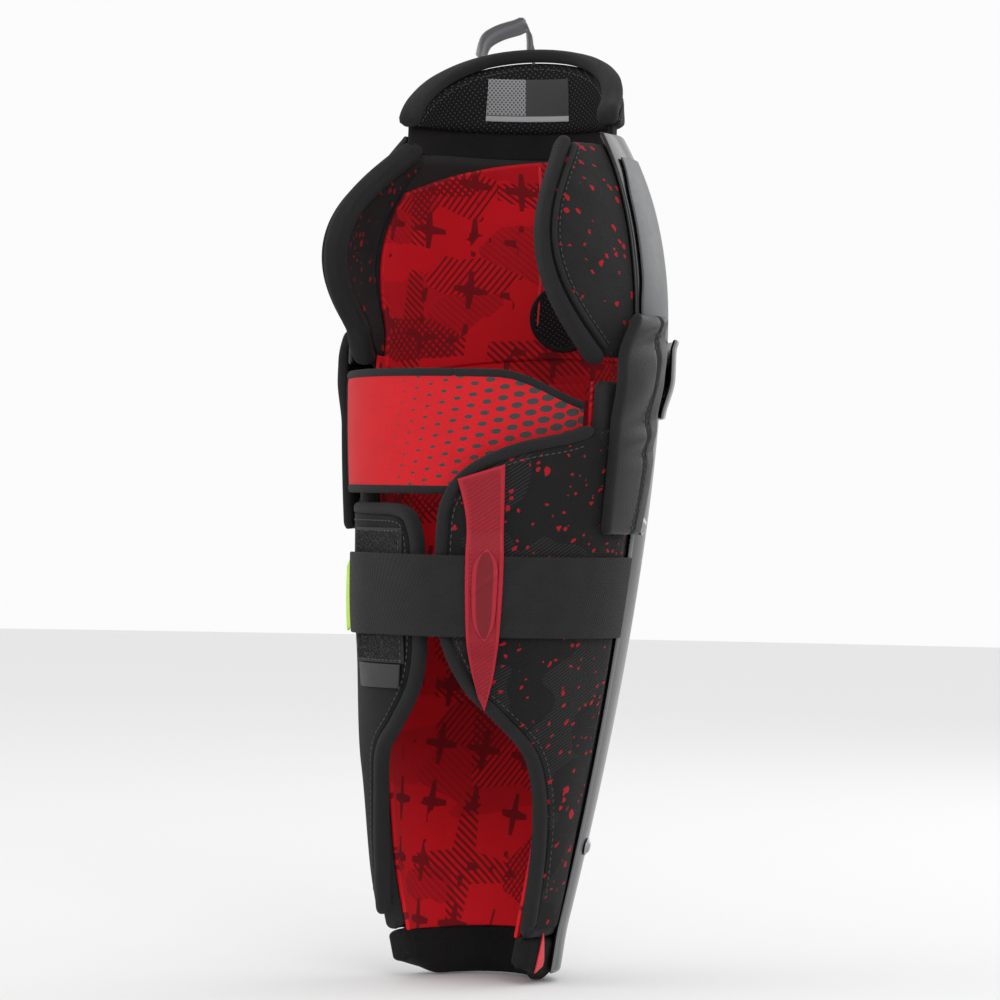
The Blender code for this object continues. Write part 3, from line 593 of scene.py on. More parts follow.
def knit(name, dark, light, pitch, red=None, hatch=False, sheen=0.03, red_cell=0.005):
    """Stretch knit, with printed flecks where red is given and a printed hatch in scattered patches where
    hatch is set.
    """
    mat, shader, place = material(name, 0.85, Sheen_Weight=sheen, Sheen_Roughness=0.4,
                                        Specular_IOR_Level=0.25)
    threads = use(WEAVE, place, Pitch=pitch)
    # Painted shade between the threads, with a random tone, from the weave's Shade.
    colour = mix(threads["Shade"], dark, light)
    if hatch:
        lines = use(STRIPES, place, Pitch=0.0018, Turn=0.9, Width=0.42)["Mask"]
        broad = noise(place, 26.0, Detail=1.0)[0]
        area = above(broad, 0.52)
        grey = tuple(c * 3.2 for c in light)
        colour = mix(multiply(multiply(lines, area), 0.55), colour, grey)
    if red is not None:
        fine = use(SPLATTER, place, Cell=red_cell, Amount=0.34, Size=0.20)["Mask"]
        broad = use(SPLATTER, place, Cell=red_cell * 2.6, Amount=0.14, Size=0.15)["Mask"]
        colour = mix(larger(fine, broad), colour, red)
    feed(shader.inputs["Base Color"], colour)
    bump(shader, threads["Height"], 0.0004, 0.7)
    return mat


def plus_mask(place, pitch, arm, turn):
    """Small plus signs with tapered arms on a slanted lattice."""
    cells = split(lattice(place, turn, pitch, pitch))
    u, v = (size_of(from_middle(cells[k])) for k in (0, 1))

    def along(near, far):
        """An arm, which narrows from its middle to its tip."""
        return larger(add(multiply(near, 4.0), multiply(far, 0.5)), far)
    return below(smaller(along(u, v), along(v, u)), arm)


def liner_material():
    """Red brushed knit with a tonal print of plus signs, hatching and flat patches."""
    mat, shader, place = material("Liner print", 0.75, Sheen_Weight=0.03, Specular_IOR_Level=0.25)
    bright, deep, dark = (0.62, 0.002, 0.010), (0.36, 0.001, 0.008), (0.13, 0.0006, 0.005)
    threads = use(WEAVE, place, Pitch=0.0011)
    slanted = lattice(place, 0.6, 1.0 / 22.0, 1.0 / 40.0)
    cells = voronoi(slanted, 1.0, distance="CHEBYCHEV")
    chance = node(mat.node_tree, "ShaderNodeSeparateColor", {0: cells.outputs["Color"]}).outputs
    colour = mix(multiply(above(chance[0], 0.62), 0.55), bright, deep)
    rising = use(STRIPES, place, Pitch=0.0034, Turn=0.95, Width=0.45)["Mask"]
    falling = use(STRIPES, place, Pitch=0.0034, Turn=-0.75, Width=0.40)["Mask"]
    colour = mix(multiply(rising, above(chance[1], 0.66)), colour, deep)
    colour = mix(multiply(falling, above(chance[2], 0.74)), colour, dark)
    scatter = noise(place, 22.0)[0]
    signs = multiply(plus_mask(place, 0.031, 0.36, 0.12), above(scatter, 0.46))
    colour = mix(signs, colour, dark)
    large = multiply(plus_mask(place, 0.093, 0.42, 0.1), rising)
    colour = mix(large, colour, dark)
    # Thread tops painted brighter red and hollows darker (painted shade), with a random tone, from the
    # weave's Shade.
    colour = mix(multiply(threads["Shade"], 0.22), colour, (0.80, 0.015, 0.025))
    feed(shader.inputs["Base Color"], colour)
    bump(shader, threads["Height"], 0.0003, 0.5)
    return mat


def halftone_material():
    """Bright red stretch knit with slanted glossy dots that grow towards the outer side."""
    mat, shader, place = material("Halftone strap", 0.75, Sheen_Weight=0.03, Specular_IOR_Level=0.3)
    threads = use(WEAVE, place, Pitch=0.0012)
    # Painted shade between the threads, with a random tone, from the weave's Shade.
    colour = mix(threads["Shade"], (0.46, 0.002, 0.007), (0.66, 0.005, 0.012))
    parts = split(place)
    growth = subtract(1.0, divide(subtract(parts[0], 0.165), 0.145))
    cells = split(lattice(place, 0.42, 0.0100, 0.0052))
    shifted = add(cells[0], multiply(floor_of(cells[1]), 0.5))
    u, v = size_of(from_middle(shifted)), size_of(from_middle(cells[1]))
    far = root(add(to_power(u, 2.0), to_power(multiply(v, 1.15), 2.0)))
    size = multiply(smaller(larger(growth, 0.0), 1.0), 0.52)
    dots = below(far, size)
    colour = mix(dots, colour, (0.035, 0.033, 0.035))
    feed(shader.inputs["Base Color"], colour)
    rough = subtract(0.75, multiply(dots, 0.42))
    feed(shader.inputs["Roughness"], rough)
    height = add(threads["Height"], multiply(dots, 1.5))
    bump(shader, height, 0.0003, 0.6)
    return mat


def webbing_material():
    """Black elastic with fine lengthwise ribs."""
    mat, shader, place = material("Elastic webbing", 0.7, Sheen_Weight=0.03, Specular_IOR_Level=0.3)
    parts = split(place)
    rib = sine_of(multiply(parts[0], 2.0 * math.pi / 0.0015))
    cross = sine_of(multiply(parts[1], 2.0 * math.pi / 0.0009))
    height = add(multiply(rib, 0.35), multiply(cross, 0.35))
    # Painted shade: the rib height paints the rib tops lighter and the grooves between them darker; the
    # noise adds a random tone.
    shade = add(multiply(height, 0.4), noise(place, 90.0, Detail=4.0)[0])
    feed(shader.inputs["Base Color"], mix(shade, (0.002, 0.002, 0.0025), (0.010, 0.010, 0.011)))
    bump(shader, height, 0.00025, 0.8)
    return mat


def leather_material():
    """Black synthetic leather with a pebbled grain and paler creases."""
    mat, shader, place = material("Synthetic leather", 0.42, Specular_IOR_Level=0.4)
    grain = voronoi(place, 1100.0)
    soft = noise(place, 130.0, Detail=4.0)[0]
    feed(shader.inputs["Base Color"], mix(soft, (0.004, 0.004, 0.0045), (0.014, 0.014, 0.016)))
    feed(shader.inputs["Roughness"], add(0.30, multiply(soft, 0.28)))
    height = add(multiply(grain.outputs["Distance"], 0.6), soft)
    bump(shader, height, 0.0004, 0.5)
    return mat


def plastic_material(name, colour, roughness, rim=None, metallic=0.0):
    """Moulded plastic with fine scuffs, and a pale moulded rim where rim is given."""
    mat, shader = material(name, roughness, metallic, Specular_IOR_Level=0.35)[:2]
    coord = node(mat.node_tree, "ShaderNodeTexCoord").outputs["Object"]
    cloudy = noise(coord, 18.0, Detail=3.0)[0]
    scuffs = noise(coord, 240.0, Detail=5.0, Distortion=1.2)[0]
    shade = mix(cloudy, tuple(c * 0.8 for c in colour), tuple(c * 1.25 for c in colour))
    if rim is not None:
        shade = mix(edge_mask(mat.node_tree, 0.0018), shade, rim)
    feed(shader.inputs["Base Color"], shade)
    rough = add(roughness - 0.05, multiply(scuffs, 0.14))
    feed(shader.inputs["Roughness"], rough)
    bump(shader, scuffs, 0.00008, 0.3)
    return mat


def rubber_material(name, colour, edge_colour):
    mat, shader, place = material(name, 0.5, Specular_IOR_Level=0.3)
    soft = noise(place, 300.0, Detail=4.0)[0]
    shade = mix(soft, tuple(c * 0.82 for c in colour), tuple(c * 1.15 for c in colour))
    feed(shader.inputs["Base Color"], mix(edge_mask(mat.node_tree, 0.0016), shade, edge_colour))
    bump(shader, soft, 0.0001, 0.4)
    return mat


def mesh_material():
    """Black spacer mesh: open cells in slanting rows."""
    mat, shader, place = material("Spacer mesh", 0.8, Specular_IOR_Level=0.2)
    cells = split(lattice(place, 0.6, 0.0026, 0.0022))
    u, v = from_middle(cells[0]), from_middle(cells[1])
    far = root(add(multiply(u, u), multiply(v, v)))
    dot = below(far, 0.17)
    cell = soft_smaller(far, 0.42, 0.1)
    colour = mix(dot, (0.005, 0.005, 0.0055), (0.060, 0.060, 0.063))
    feed(shader.inputs["Base Color"], colour)
    bump(shader, cell, 0.0008, 0.7)
    return mat


def label_material():
    """Printed size label: a hatched block, an outlined panel and a pale strip, with no lettering."""
    mat, shader, place = material("Printed label", 0.6)
    lines = use(STRIPES, place, Pitch=0.0018, Turn=0.8, Width=0.45)["Mask"]
    counter = use(STRIPES, place, Pitch=0.0018, Turn=-0.8, Width=0.45)["Mask"]
    parts = split(place)
    block = multiply(below(parts[0], -0.020), above(parts[1], 0.461))
    strip = below(parts[1], 0.4605)
    colour = mix(multiply(larger(lines, counter), block), (0.020, 0.020, 0.021), (0.24, 0.24, 0.25))
    colour = mix(strip, colour, (0.30, 0.30, 0.31))
    colour = mix(multiply(edge_mask(mat.node_tree, 0.0008), 0.7), colour, (0.40, 0.40, 0.41))
    feed(shader.inputs["Base Color"], colour)
    return mat


def plain_cloth(name, colour, roughness, sheen, pitch=0.0008):
    mat, shader, place = material(name, roughness, Sheen_Weight=sheen)
    threads = use(WEAVE, place, Pitch=pitch)
    # Painted shade between the threads, with a random tone, from the weave's Shade.
    feed(shader.inputs["Base Color"], mix(threads["Shade"], tuple(c * 0.7 for c in colour),
                                          tuple(min(1.0, c * 1.25) for c in colour)))
    bump(shader, threads["Height"], 0.0002, 0.7)
    return mat


BLACK = (0.003, 0.003, 0.0035)
CHARCOAL = (0.010, 0.010, 0.011)
FLECK = (0.38, 0.002, 0.010)
KNIT = knit("Black knit", BLACK, CHARCOAL, 0.0012)
BINDING = knit("Binding knit", (0.008, 0.008, 0.009), (0.020, 0.020, 0.022), 0.0009, sheen=0.04)
FLECKED = knit("Flecked knit", BLACK, CHARCOAL, 0.0012, red=FLECK, hatch=True)
WING_CLOTH = knit("Wing cloth", (0.004, 0.004, 0.0045), (0.020, 0.020, 0.022), 0.0015, red=FLECK,
                  red_cell=0.007)
LINER_CLOTH = liner_material()
HALFTONE = halftone_material()
WEBBING = webbing_material()
LEATHER = leather_material()
GLOSS = plastic_material("Gloss plate", (0.004, 0.004, 0.0045), 0.20, rim=(0.16, 0.165, 0.17))
CAP_GLOSS = plastic_material("Gloss cap", (0.004, 0.004, 0.0045), 0.17)
SATIN_GREY = plastic_material("Satin grey plate", (0.045, 0.047, 0.052), 0.36, metallic=0.2)
RUBBER = rubber_material("Moulded red rubber", (0.25, 0.0012, 0.010), (0.34, 0.004, 0.016))
BADGE = rubber_material("Badge rubber", (0.15, 0.001, 0.006), (0.32, 0.006, 0.018))
MESH = mesh_material()
LABEL = label_material()
LIME = plain_cloth("Lime tab", (0.46, 0.76, 0.030), 0.55, 0.1)
RIBBON = plain_cloth("Satin ribbon", (0.075, 0.076, 0.082), 0.30, 0.6, 0.0005)
FOAM_CLOTH = plain_cloth("Foam backing", (0.010, 0.010, 0.011), 0.9, 0.02, 0.0016)
THREAD = plain_cloth("Thread", (0.035, 0.035, 0.038), 0.6, 0.2, 0.0004)
RED_TRIM = plain_cloth("Red trim", (0.70, 0.006, 0.020), 0.6, 0.2)
PILE = plain_cloth("Loop pile", (0.010, 0.010, 0.011), 0.9, 0.08, 0.0012)
RIVET = plastic_material("Rivet metal", (0.30, 0.30, 0.32), 0.30, metallic=0.9)


# ---------------------------------------------------------------- joints that cloth crosses

def across_joint(name, before, after, first, second, reach=0.008):
    """before and after are (bearing, height) on either side, which give the way across the line.
    """
    joint = JOINTS[name]
    pivot = np.array(joint["pos_m"], float)
    line = np.array(joint["axis"], float)
    line /= np.linalg.norm(line)
    way = lay(shin, *after, 0.0) - lay(shin, *before, 0.0)
    way -= line * np.dot(way, line)
    way /= np.linalg.norm(way)
    return first, second, tuple(pivot - way * reach), tuple(pivot + way * reach)


OVER_OUTER = across_joint("outer_wrap_open", (110.0, 0.188), (117.0, 0.188), "shin", "outer_wrap_body")
OVER_INNER = across_joint("inner_wrap_open", (250.0, 0.140), (243.0, 0.140), "shin", "inner_wrap_body")
OVER_STRAP = across_joint("strap_peel", (160.0, 0.202), (166.0, 0.202), "outer_wrap_body",
                          "strap_tail_body", 0.003)
OVER_CALF = across_joint("calf_strap_peel", (169.0, 0.287), (176.0, 0.287), "outer_wrap_body",
                         "calf_tail_body", 0.004)
OVER_KNEE = ("shin", "knee", (0.0, HINGE_Y, SHIN_TOP + 0.001), (0.0, HINGE_Y, SHIN_TOP + 0.012))
OVER_THIGH = ("knee", "thigh_flap", (0.0, -0.07, KNEE_TOP - 0.001), (0.0, -0.07, THIGH_BOTTOM + 0.004))


# ---------------------------------------------------------------- shin unit

def rounded_box(b, z, b_middle, b_half, z_middle, z_half, soft_b, soft_z):
    """Mask that is 1 inside a rounded patch of the surface."""
    inside_b = smooth((b_half - np.abs(b - b_middle)) / soft_b)
    inside_z = smooth((z_half - np.abs(z - z_middle)) / soft_z)
    return inside_b * inside_z


def shell_relief(b, z, s, t):
    """Raised spine, sunk side panels and slanted vents of the shin shell."""
    side = np.abs(b)
    spine = 0.0022 * smooth((13.0 - side) / 5.0) * smooth((z - 0.012) / 0.03)
    panel = -0.0014 * rounded_box(side, z, 42.0, 17.0, 0.175, 0.105, 3.0, 0.008)
    slope = z - 0.0011 * (side - 42.0)
    vents = np.zeros_like(z)
    for middle in (0.110, 0.145, 0.180, 0.215, 0.250):
        vents += rounded_box(side, slope, 42.0, 11.0, middle, 0.0042, 3.0, 0.0022)
    flare = 0.002 * smooth((0.030 - z) / 0.030)
    return spine + panel - 0.0016 * np.minimum(1.0, vents) + flare


def build_shell():
    low = level(-80.0, 80.0, 0.004)
    high = level(-87.0, 87.0, SHIN_TOP)
    solid("Shin_plate", GLOSS, "shin", shin, low, high, shell_relief, SHELL, along=190, across=170,
          rounding=0.0014, nodes=("shin_shell",))

    def lip_rise(b, z, s, t):
        base = SHELL + 0.0004
        roll = 0.0012 * smooth((t - 0.86) / 0.14)
        return base + (LIP_STAND - base) * smooth((z - LIP_BOTTOM) / (0.318 - LIP_BOTTOM)) + roll
    solid("Plate_lip", GLOSS, "shin", plain_shin, *band(-70.0, 70.0, LIP_BOTTOM, LIP_TOP), lip_rise,
          SHELL - GAP, along=120, across=26, rounding=0.0012, nodes=("shell_lip",))
    for number, (bearing, z) in enumerate(RIVET_PLACES, 1):
        build_rivet(number, bearing, z)


def build_rivet(number, bearing, z):
    """Domed rivet head on a washer, turned from a profile."""
    foot = Vector(lay(shin, bearing, z, 0.0006))
    outwards = Vector(surface_normal(shin, np.array(bearing), np.array(z)))
    turn = Matrix.Translation(foot) @ outwards.to_track_quat("Z", "Y").to_matrix().to_4x4()
    profile = [(0.0046, -0.0004), (0.0046, 0.0003), (0.0040, 0.0005), (0.0034, 0.0006), (0.0031, 0.0012),
               (0.0022, 0.0017), (0.0011, 0.0019)]
    sides = 28
    verts = [turn @ Vector((r * math.cos(a), r * math.sin(a), h)) for r,
             h in profile for a in np.linspace(0.0, 2.0 * math.pi, sides, endpoint=False)]
    finish_mesh(f"Rivet_{number}", verts, tube_faces(len(profile), sides), np.zeros((len(verts), 2)),
                np.ones(len(verts)), RIVET, "shin", nodes=(f"shell_rivet_{number}",))


def build_shin_padding():
    foot = 0.0220
    solid("Shin_foam", FOAM_CLOTH, "shin", shin, *band(-110.0, 110.0, foot, SHIN_TOP), FOAM_TOP, FOAM,
          along=110, across=50, rounding=0.004, nodes=("shin_foam",), padded=0.8)
    solid("Shin_liner", LINER_CLOTH, "shin", shin, *band(-109.0, 109.0, foot - 0.002, SHIN_TOP), LINER_TOP,
          LINER, along=110, across=60, rounding=0.001, nodes=("shin_liner",), padded=0.3)

    def hem_bottom(bearing):
        return -0.0012 + 0.0065 * smooth((np.abs(bearing) - 60.0) / 50.0)

    def ribs(b, z, s, t):
        return FOAM_TOP + 0.0004 * np.sin(b * 2.6)
    solid("Ankle_hem", KNIT, "shin", shin, *band(-110.0, 110.0, hem_bottom, 0.0215), ribs, FOAM + LINER,
          along=260, across=12, rounding=0.004, nodes=("ankle_hem",), padded=0.5)
    solid("Hem_flash", RED_TRIM, "shin", shin, ((88.0, 0.0075), (98.0, 0.0040)),
          ((88.0, 0.0100), (98.0, 0.0260)), FOAM_TOP + 0.0012, 0.0008, along=8, across=8, rounding=0.0004,
          nodes=("hem_flash",))
    gusset = level(-92.0, 92.0, SHIN_TOP - 0.010)
    solid("Knee_gusset", LINER_CLOTH, OVER_KNEE, plain_shin, gusset,
          level(-92.0, 92.0, lambda b: knee_bottom(b) + 0.006), LINER_TOP + 0.0016, 0.0016, along=90,
          across=16, rounding=0.0008, padded=0.2)


def build_bolster(side, label):
    """Padded roll over the joint, gathered into cross folds along its seam."""
    top = 0.349 if side > 0 else 0.341
    start, end = (84.0, 109.5) if side > 0 else (-71.5, -92.0)

    def rise(b, z, s, t):
        clear = KNEE_RADIUS - CALF_RADIUS + 0.003
        base = 0.0055 + 0.0006 + (clear - 0.0006) * smooth((z - 0.290) / 0.026)
        fold = np.sin(z / 0.0042 + 1.7 * np.sin(z / 0.011) + 1.2 * s * 3.0)
        fold = fold * smooth((z - 0.262) / 0.03) * (0.35 + 0.65 * np.abs(np.sin(math.pi * s)))
        seam = np.exp(-((s - 0.36) / 0.035) ** 2)
        return base + 0.0014 * fold - 0.0020 * seam

    def rear_edge(z):
        return (end - side * 7.0 * smooth((z - 0.325) / 0.03))
    heights = np.linspace(0.235, top, 60)
    front = np.stack((start + side * 3.0 * smooth((0.27 - heights) / 0.04), heights), axis=1)
    rear = np.stack((rear_edge(heights), heights), axis=1)
    solid(f"Side_bolster_{label}", LEATHER, "shin", plain_shin, front, rear, lambda b, z, s,
          t: rise(b, z, t, s), 0.0055, along=170, across=36, rounding=0.0035, crown=0.0012,
          nodes=(f"side_bolster_{label}",), padded=0.7)
    edge = np.stack((rear[:, 0] - side * 0.8, rear[:, 1]), axis=1)
    stand = 0.0045 + 0.003 * smooth((edge[:, 1] - 0.290) / 0.026)
    piping(f"Bolster_edge_{label}", BINDING, "shin", plain_shin, edge, stand, 0.0024, 0.0030)
    seam = front + (rear - front) * 0.36
    lift = 0.0068 + 0.0034 * smooth((seam[:, 1] - 0.290) / 0.026)
    for shift in (-0.0016, 0.0016):
        stitch_line("shin", plain_shin, offset_path(seam[2:-2], plain_shin, shift), lift[2:-2])


# ---------------------------------------------------------------- knee unit

def cap_relief(b, z, s, t):
    side = np.abs(b)
    crest = 0.0020 * rounded_box(b, z, 0.0, 30.0, 0.392, 0.036, 6.0, 0.008)
    band = -0.0012 * np.exp(-((z - 0.3475) / 0.0022) ** 2) * smooth((70.0 - side) / 5.0)
    groove = -0.0013 * np.exp(-((side - 46.0 - 60.0 * (z - 0.392)) / 1.5) ** 2)
    vents = np.zeros_like(z)
    for middle in (0.374, 0.390, 0.406):
        vents += rounded_box(b, z, 0.0, 14.0, middle, 0.0032, 3.0, 0.0016)
    return crest + band + groove - 0.0018 * np.minimum(1.0, vents)


def build_cap():
    solid("Knee_cap", CAP_GLOSS, "knee", knee, level(-97.0, 97.0, knee_bottom, 90),
          level(-97.0, 97.0, KNEE_TOP, 90), cap_relief, SHELL, along=190, across=100, rounding=0.0014,
          nodes=("knee_cap_shell",))
    for side, label in SIDES:
        heights = np.linspace(0.336, 0.432, 60)
        front = np.stack((np.full(60, 60.0) + 6.0 * smooth((heights - 0.40) / 0.03), heights), axis=1)
        wave = 1.2 * np.sin((heights - 0.336) / 0.0105) * smooth((0.375 - heights) / 0.02)
        rear = np.stack((94.0 - 3.0 * smooth((heights - 0.41) / 0.02) + wave, heights), axis=1)
        front[:, 0] *= side
        rear[:, 0] *= side
        solid(f"Cap_side_plate_{label}", SATIN_GREY, "knee", knee, front, rear, 0.0016, 0.0012, along=70,
              across=30, rounding=0.0009, nodes=(f"cap_side_panel_{label}",))


def build_knee_padding():
    solid("Knee_foam", FOAM_CLOTH, "knee", knee, *band(-86.0, 86.0, knee_bottom, KNEE_TOP - 0.004),
          FOAM_TOP, FOAM, along=90, across=44, rounding=0.004, nodes=("knee_foam",), padded=0.8)
    edge = level(-86.0, 86.0, lambda b: KNEE_TOP - 0.004 - 0.020 * (np.abs(b) / 86.0) ** 2, 90)
    solid("Knee_liner", LINER_CLOTH, "knee", knee, level(-86.0, 86.0, knee_bottom, 90), edge,
          LINER_TOP + 0.0006, LINER + 0.0008, along=110, across=70, rounding=0.0014, nodes=("knee_liner",),
          padded=0.3)
    ring = np.linspace(0.0, 2.0 * math.pi, 61)
    bearings = np.degrees(np.sin(ring) * VENT_RADIUS / 0.0735)
    heights = VENT_HEIGHT + np.cos(ring) * VENT_RADIUS
    build_vent(bearings, heights)
    path = np.stack((bearings, heights), axis=1)
    piping("Vent_rim", BINDING, "knee", knee, path, LINER_TOP - LINER - 0.0006, 0.0014, 0.0012)
    seam = np.stack((np.full(40, -12.0) + np.linspace(0.0, 3.0, 40), np.linspace(0.344, 0.440, 40)), axis=1)
    piping("Liner_seam", RED_TRIM, "knee", knee, seam, LINER_TOP - LINER - 0.0004, 0.0009, 0.0009,
           slot="liner_print")


def build_vent(bearings, heights):
    """Round patch of open mesh let into the liner."""
    rings = 14
    verts, uv = [], []
    for layer, height in enumerate((LINER_TOP - LINER - 0.0012, LINER_TOP - LINER + 0.0004)):
        for k in range(1, rings + 1):
            share = k / rings
            b = bearings[:-1] * share
            z = VENT_HEIGHT + (heights[:-1] - VENT_HEIGHT) * share
            verts.append(lay(knee, b, z, height))
            uv.append(np.stack((np.radians(b) * 0.08, z), axis=1))
    verts = np.concatenate(verts)
    uv = np.concatenate(uv)
    sides = len(bearings) - 1
    faces = []
    count = rings * sides
    for layer in range(2):
        for k in range(rings - 1):
            for i in range(sides):
                j = (i + 1) % sides
                face = [layer * count + k * sides + i, layer * count + k * sides + j,
                        layer * count + (k + 1) * sides + j, layer * count + (k + 1) * sides + i]
                faces.append(face if layer else face[::-1])
        cap = [layer * count + i for i in range(sides)]
        faces.append(cap if not layer else cap[::-1])
    last = (rings - 1) * sides
    for i in range(sides):
        j = (i + 1) % sides
        faces.append([last + i, last + j, count + last + j, count + last + i])
    a, c, d = (verts[i] for i in faces[0][:3])
    if np.dot(np.cross(c - a, d - a), np.array((0.0, 1.0, 0.0))) < 0.0:
        faces = [f[::-1] for f in faces]
    finish_mesh("Vent_mesh", verts, faces, uv, np.ones(len(verts)), MESH, "knee", nodes=("vent_mesh",))


def build_wing(side, label):
    """Padded wing with a bound rear edge, a second cord of piping beside it, and a stitched line."""
    low_z = float(knee_bottom(120.0)) + 0.001
    heights = np.linspace(low_z, KNEE_TOP - 0.003, 90)
    front = np.stack((np.full(90, 87.0 * side), heights), axis=1)
    rim = np.stack((wing_rim(side, heights) - side * 3.0, heights), axis=1)
    solid(f"Knee_wing_{label}", WING_CLOTH, "knee", knee, front, rim, FOAM_TOP - 0.0004, 0.0115, along=90,
          across=34, rounding=0.005, crown=0.0012, nodes=(f"knee_wing_{label}",), padded=0.7)
    edge = offset_path(rim, knee, -side * 0.0030)
    piping(f"Wing_binding_{label}", BINDING, "knee", knee, edge, FOAM_TOP - 0.0055, 0.0037, 0.0062,
           sides=16, nodes=(f"wing_binding_{label}",))
    inner = offset_path(rim, knee, side * 0.0024)
    piping(f"Wing_piping_{label}", BINDING, "knee", knee, inner[2:-2], FOAM_TOP + 0.0006, 0.0013, 0.0014)
    stitch_line("knee", knee, offset_path(rim, knee, side * 0.0052)[3:-3], FOAM_TOP + 0.0010)


# ---------------------------------------------------------------- thigh flap

def build_thigh():
    solid("Thigh_pad", MESH, "thigh_flap", thigh, *band(*PAD_SIDES, THIGH_BOTTOM, thigh_edge(0.0)), 0.0,
          0.010, along=110, across=30, rounding=0.004, crown=0.0014, nodes=("thigh_pad",), padded=0.7)
    over_top = [(b, thigh_edge(0.004)(b)) for b in (-92.0, -70.0, -40.0, -10.0, 20.0, 50.0, 70.0)]
    rim = curve_through(((-101.0, 0.4515), (-102.0, 0.4555), *over_top, (79.5, 0.4580), (79.5, 0.4515)), 150)
    piping("Thigh_binding", BINDING, "thigh_flap", thigh, rim, -0.005, 0.0036, 0.0058, sides=16,
           nodes=("thigh_binding",))
    inner = level(-96.0, 74.0, thigh_edge(-0.0035), 90)
    stitch_line("thigh_flap", thigh, inner, -0.0104)
    stitch_line("thigh_flap", thigh, inner, 0.0008)
    solid("Size_label", LABEL, "thigh_flap", thigh,
          *band(-42.0, 10.0, THIGH_BOTTOM + 0.007, THIGH_BOTTOM + 0.030), -0.0102, 0.0008, along=40,
          across=16, rounding=0.0005, nodes=("size_label",))
    solid("Thigh_gusset", KNIT, OVER_THIGH, thigh,
          *band(-99.0, 77.0, KNEE_TOP - 0.010, THIGH_BOTTOM + 0.006), -0.0035, 0.003, along=90, across=20,
          rounding=0.0012, padded=0.2)
    build_loop()


def build_loop():
    """Satin ribbon standing in an arch, each end sewn to the pad, its width turning as it goes."""
    bearing = -29.0
    foot_z = float(thigh_edge(0.0067)(bearing + 8.0)) - 0.004
    foot = lay(thigh, bearing, foot_z, -0.005)
    out = surface_normal(thigh, np.array(bearing), np.array(foot_z))
    out[2] = 0.0
    out /= np.linalg.norm(out)
    side = np.array((-out[1], out[0], 0.0))
    up = np.array((0.0, 0.0, 1.0))
    n, m = 60, 12
    control = ((-0.0125, -0.001), (-0.0120, 0.009), (-0.0095, 0.0185), (-0.0040, 0.0170), (0.0060, 0.0135),
               (0.0125, 0.0085), (0.0155, -0.001))
    line = curve_through(np.array(control), n)
    share = np.linspace(0.0, 1.0, n)[:, None]
    w = np.linspace(-1.0, 1.0, m)[None, :]
    tilt = np.radians(38.0 + 50.0 * np.sin(math.pi * share))
    half_width = 0.0066 * (1.0 - 0.25 * np.sin(math.pi * share))
    ripple = 0.0005 * np.sin(w * 5.0 + share * 9.0)
    sideways = line[:, :1] + np.sin(tilt) * w * half_width * 0.35
    upwards = line[:, 1:] + np.sin(tilt) * w * half_width * 0.8
    outwards = np.cos(tilt) * w * half_width + ripple
    sheet = foot + sideways[..., None] * side + upwards[..., None] * up + outwards[..., None] * out
    across = np.gradient(sheet, axis=1)
    along = np.gradient(sheet, axis=0)
    normal = np.cross(along, across)
    normal /= np.linalg.norm(normal, axis=-1, keepdims=True) + 1e-12
    half = 0.0005
    verts = np.concatenate(((sheet + normal * half).reshape(-1, 3), (sheet - normal * half).reshape(-1, 3)))
    uv = np.stack(np.broadcast_arrays(share * 0.05, w * 0.007), axis=-1).reshape(-1, 2)
    finish_mesh("Pull_loop", verts, sheet_faces(n, m), np.concatenate((uv, uv)), np.ones(len(verts)),
                RIBBON, "thigh_flap", nodes=("pull_loop",))


# ---------------------------------------------------------------- wraps

def full_wrap(name, cloth, outline, base_bearing, z_low, z_high, words, top, nodes, label, side):
    """Wrap in one piece with the part sewn to the foam."""
    edge = curve_through(outline, 130)
    front = np.stack((np.full(130, base_bearing), np.linspace(z_high, z_low, 130)), axis=1)

    def height(b, z, s, t):
        puff = 0.0006 * np.sin(z / 0.021) * np.sin(np.radians(b) * 9.0)
        return top + puff
    solid(name, cloth, words, shin, front, edge, height, WRAP, along=150, across=60, rounding=0.0035,
          nodes=nodes, slot="knit_black", padded=0.5)
    rim = offset_path(edge, shin, side * 0.0026)
    piping(name + "_binding", BINDING, words, shin, rim, top - WRAP / 2.0, 0.0034, WRAP / 2.0 + 0.0006,
           sides=16, nodes=(f"{label}_binding",))
    return edge


def build_outer_wrap():
    edge = full_wrap("Outer_wrap", FLECKED, OUTER_OUTLINE, 88.5, WRAP_FOOT, 0.296, OVER_OUTER, 0.0,
                     ("outer_wrap", "wrap_base_lateral"), "outer_wrap", 1.0)
    inside = offset_path(edge, shin, -0.0032)
    stitch_line("outer_wrap_body", shin, inside[4:-8], 0.0003)


def build_inner_wrap():
    edge = full_wrap("Inner_wrap", KNIT, INNER_OUTLINE, 271.5, WRAP_FOOT, 0.260, OVER_INNER, INNER_WRAP_SINK,
                     ("inner_wrap", "wrap_base_medial"), "inner_wrap", -1.0)
    inside = offset_path(edge, shin, 0.0032)
    stitch_line("inner_wrap_body", shin, inside[4:-8], -0.0013)
    face = 0.001 + INNER_WRAP_SINK + 0.0004
    solid("Loop_patch", PILE, "inner_wrap_body", shin, *band(*PATCH_SIDES, *PATCH_HEIGHTS), face, 0.001,
          along=40, across=40, rounding=0.0008, nodes=("loop_patch",))
    solid("Loop_patch_tab", LEATHER, "inner_wrap_body", shin, level(193.0, 224.0, 0.153),
          level(192.0, 226.0, 0.1655), face + 0.0004, 0.001, along=40, across=14, rounding=0.0008,
          nodes=("loop_patch_tab",))
    outline = np.concatenate((level(191.5, 226.5, 0.1675, 30), level(226.5, 191.5, 0.2345, 30),
                              level(191.5, 191.5, 0.1675, 2)))
    stitch_line("inner_wrap_body", shin, evenly(outline, 160), face + 0.0004)


# ---------------------------------------------------------------- straps

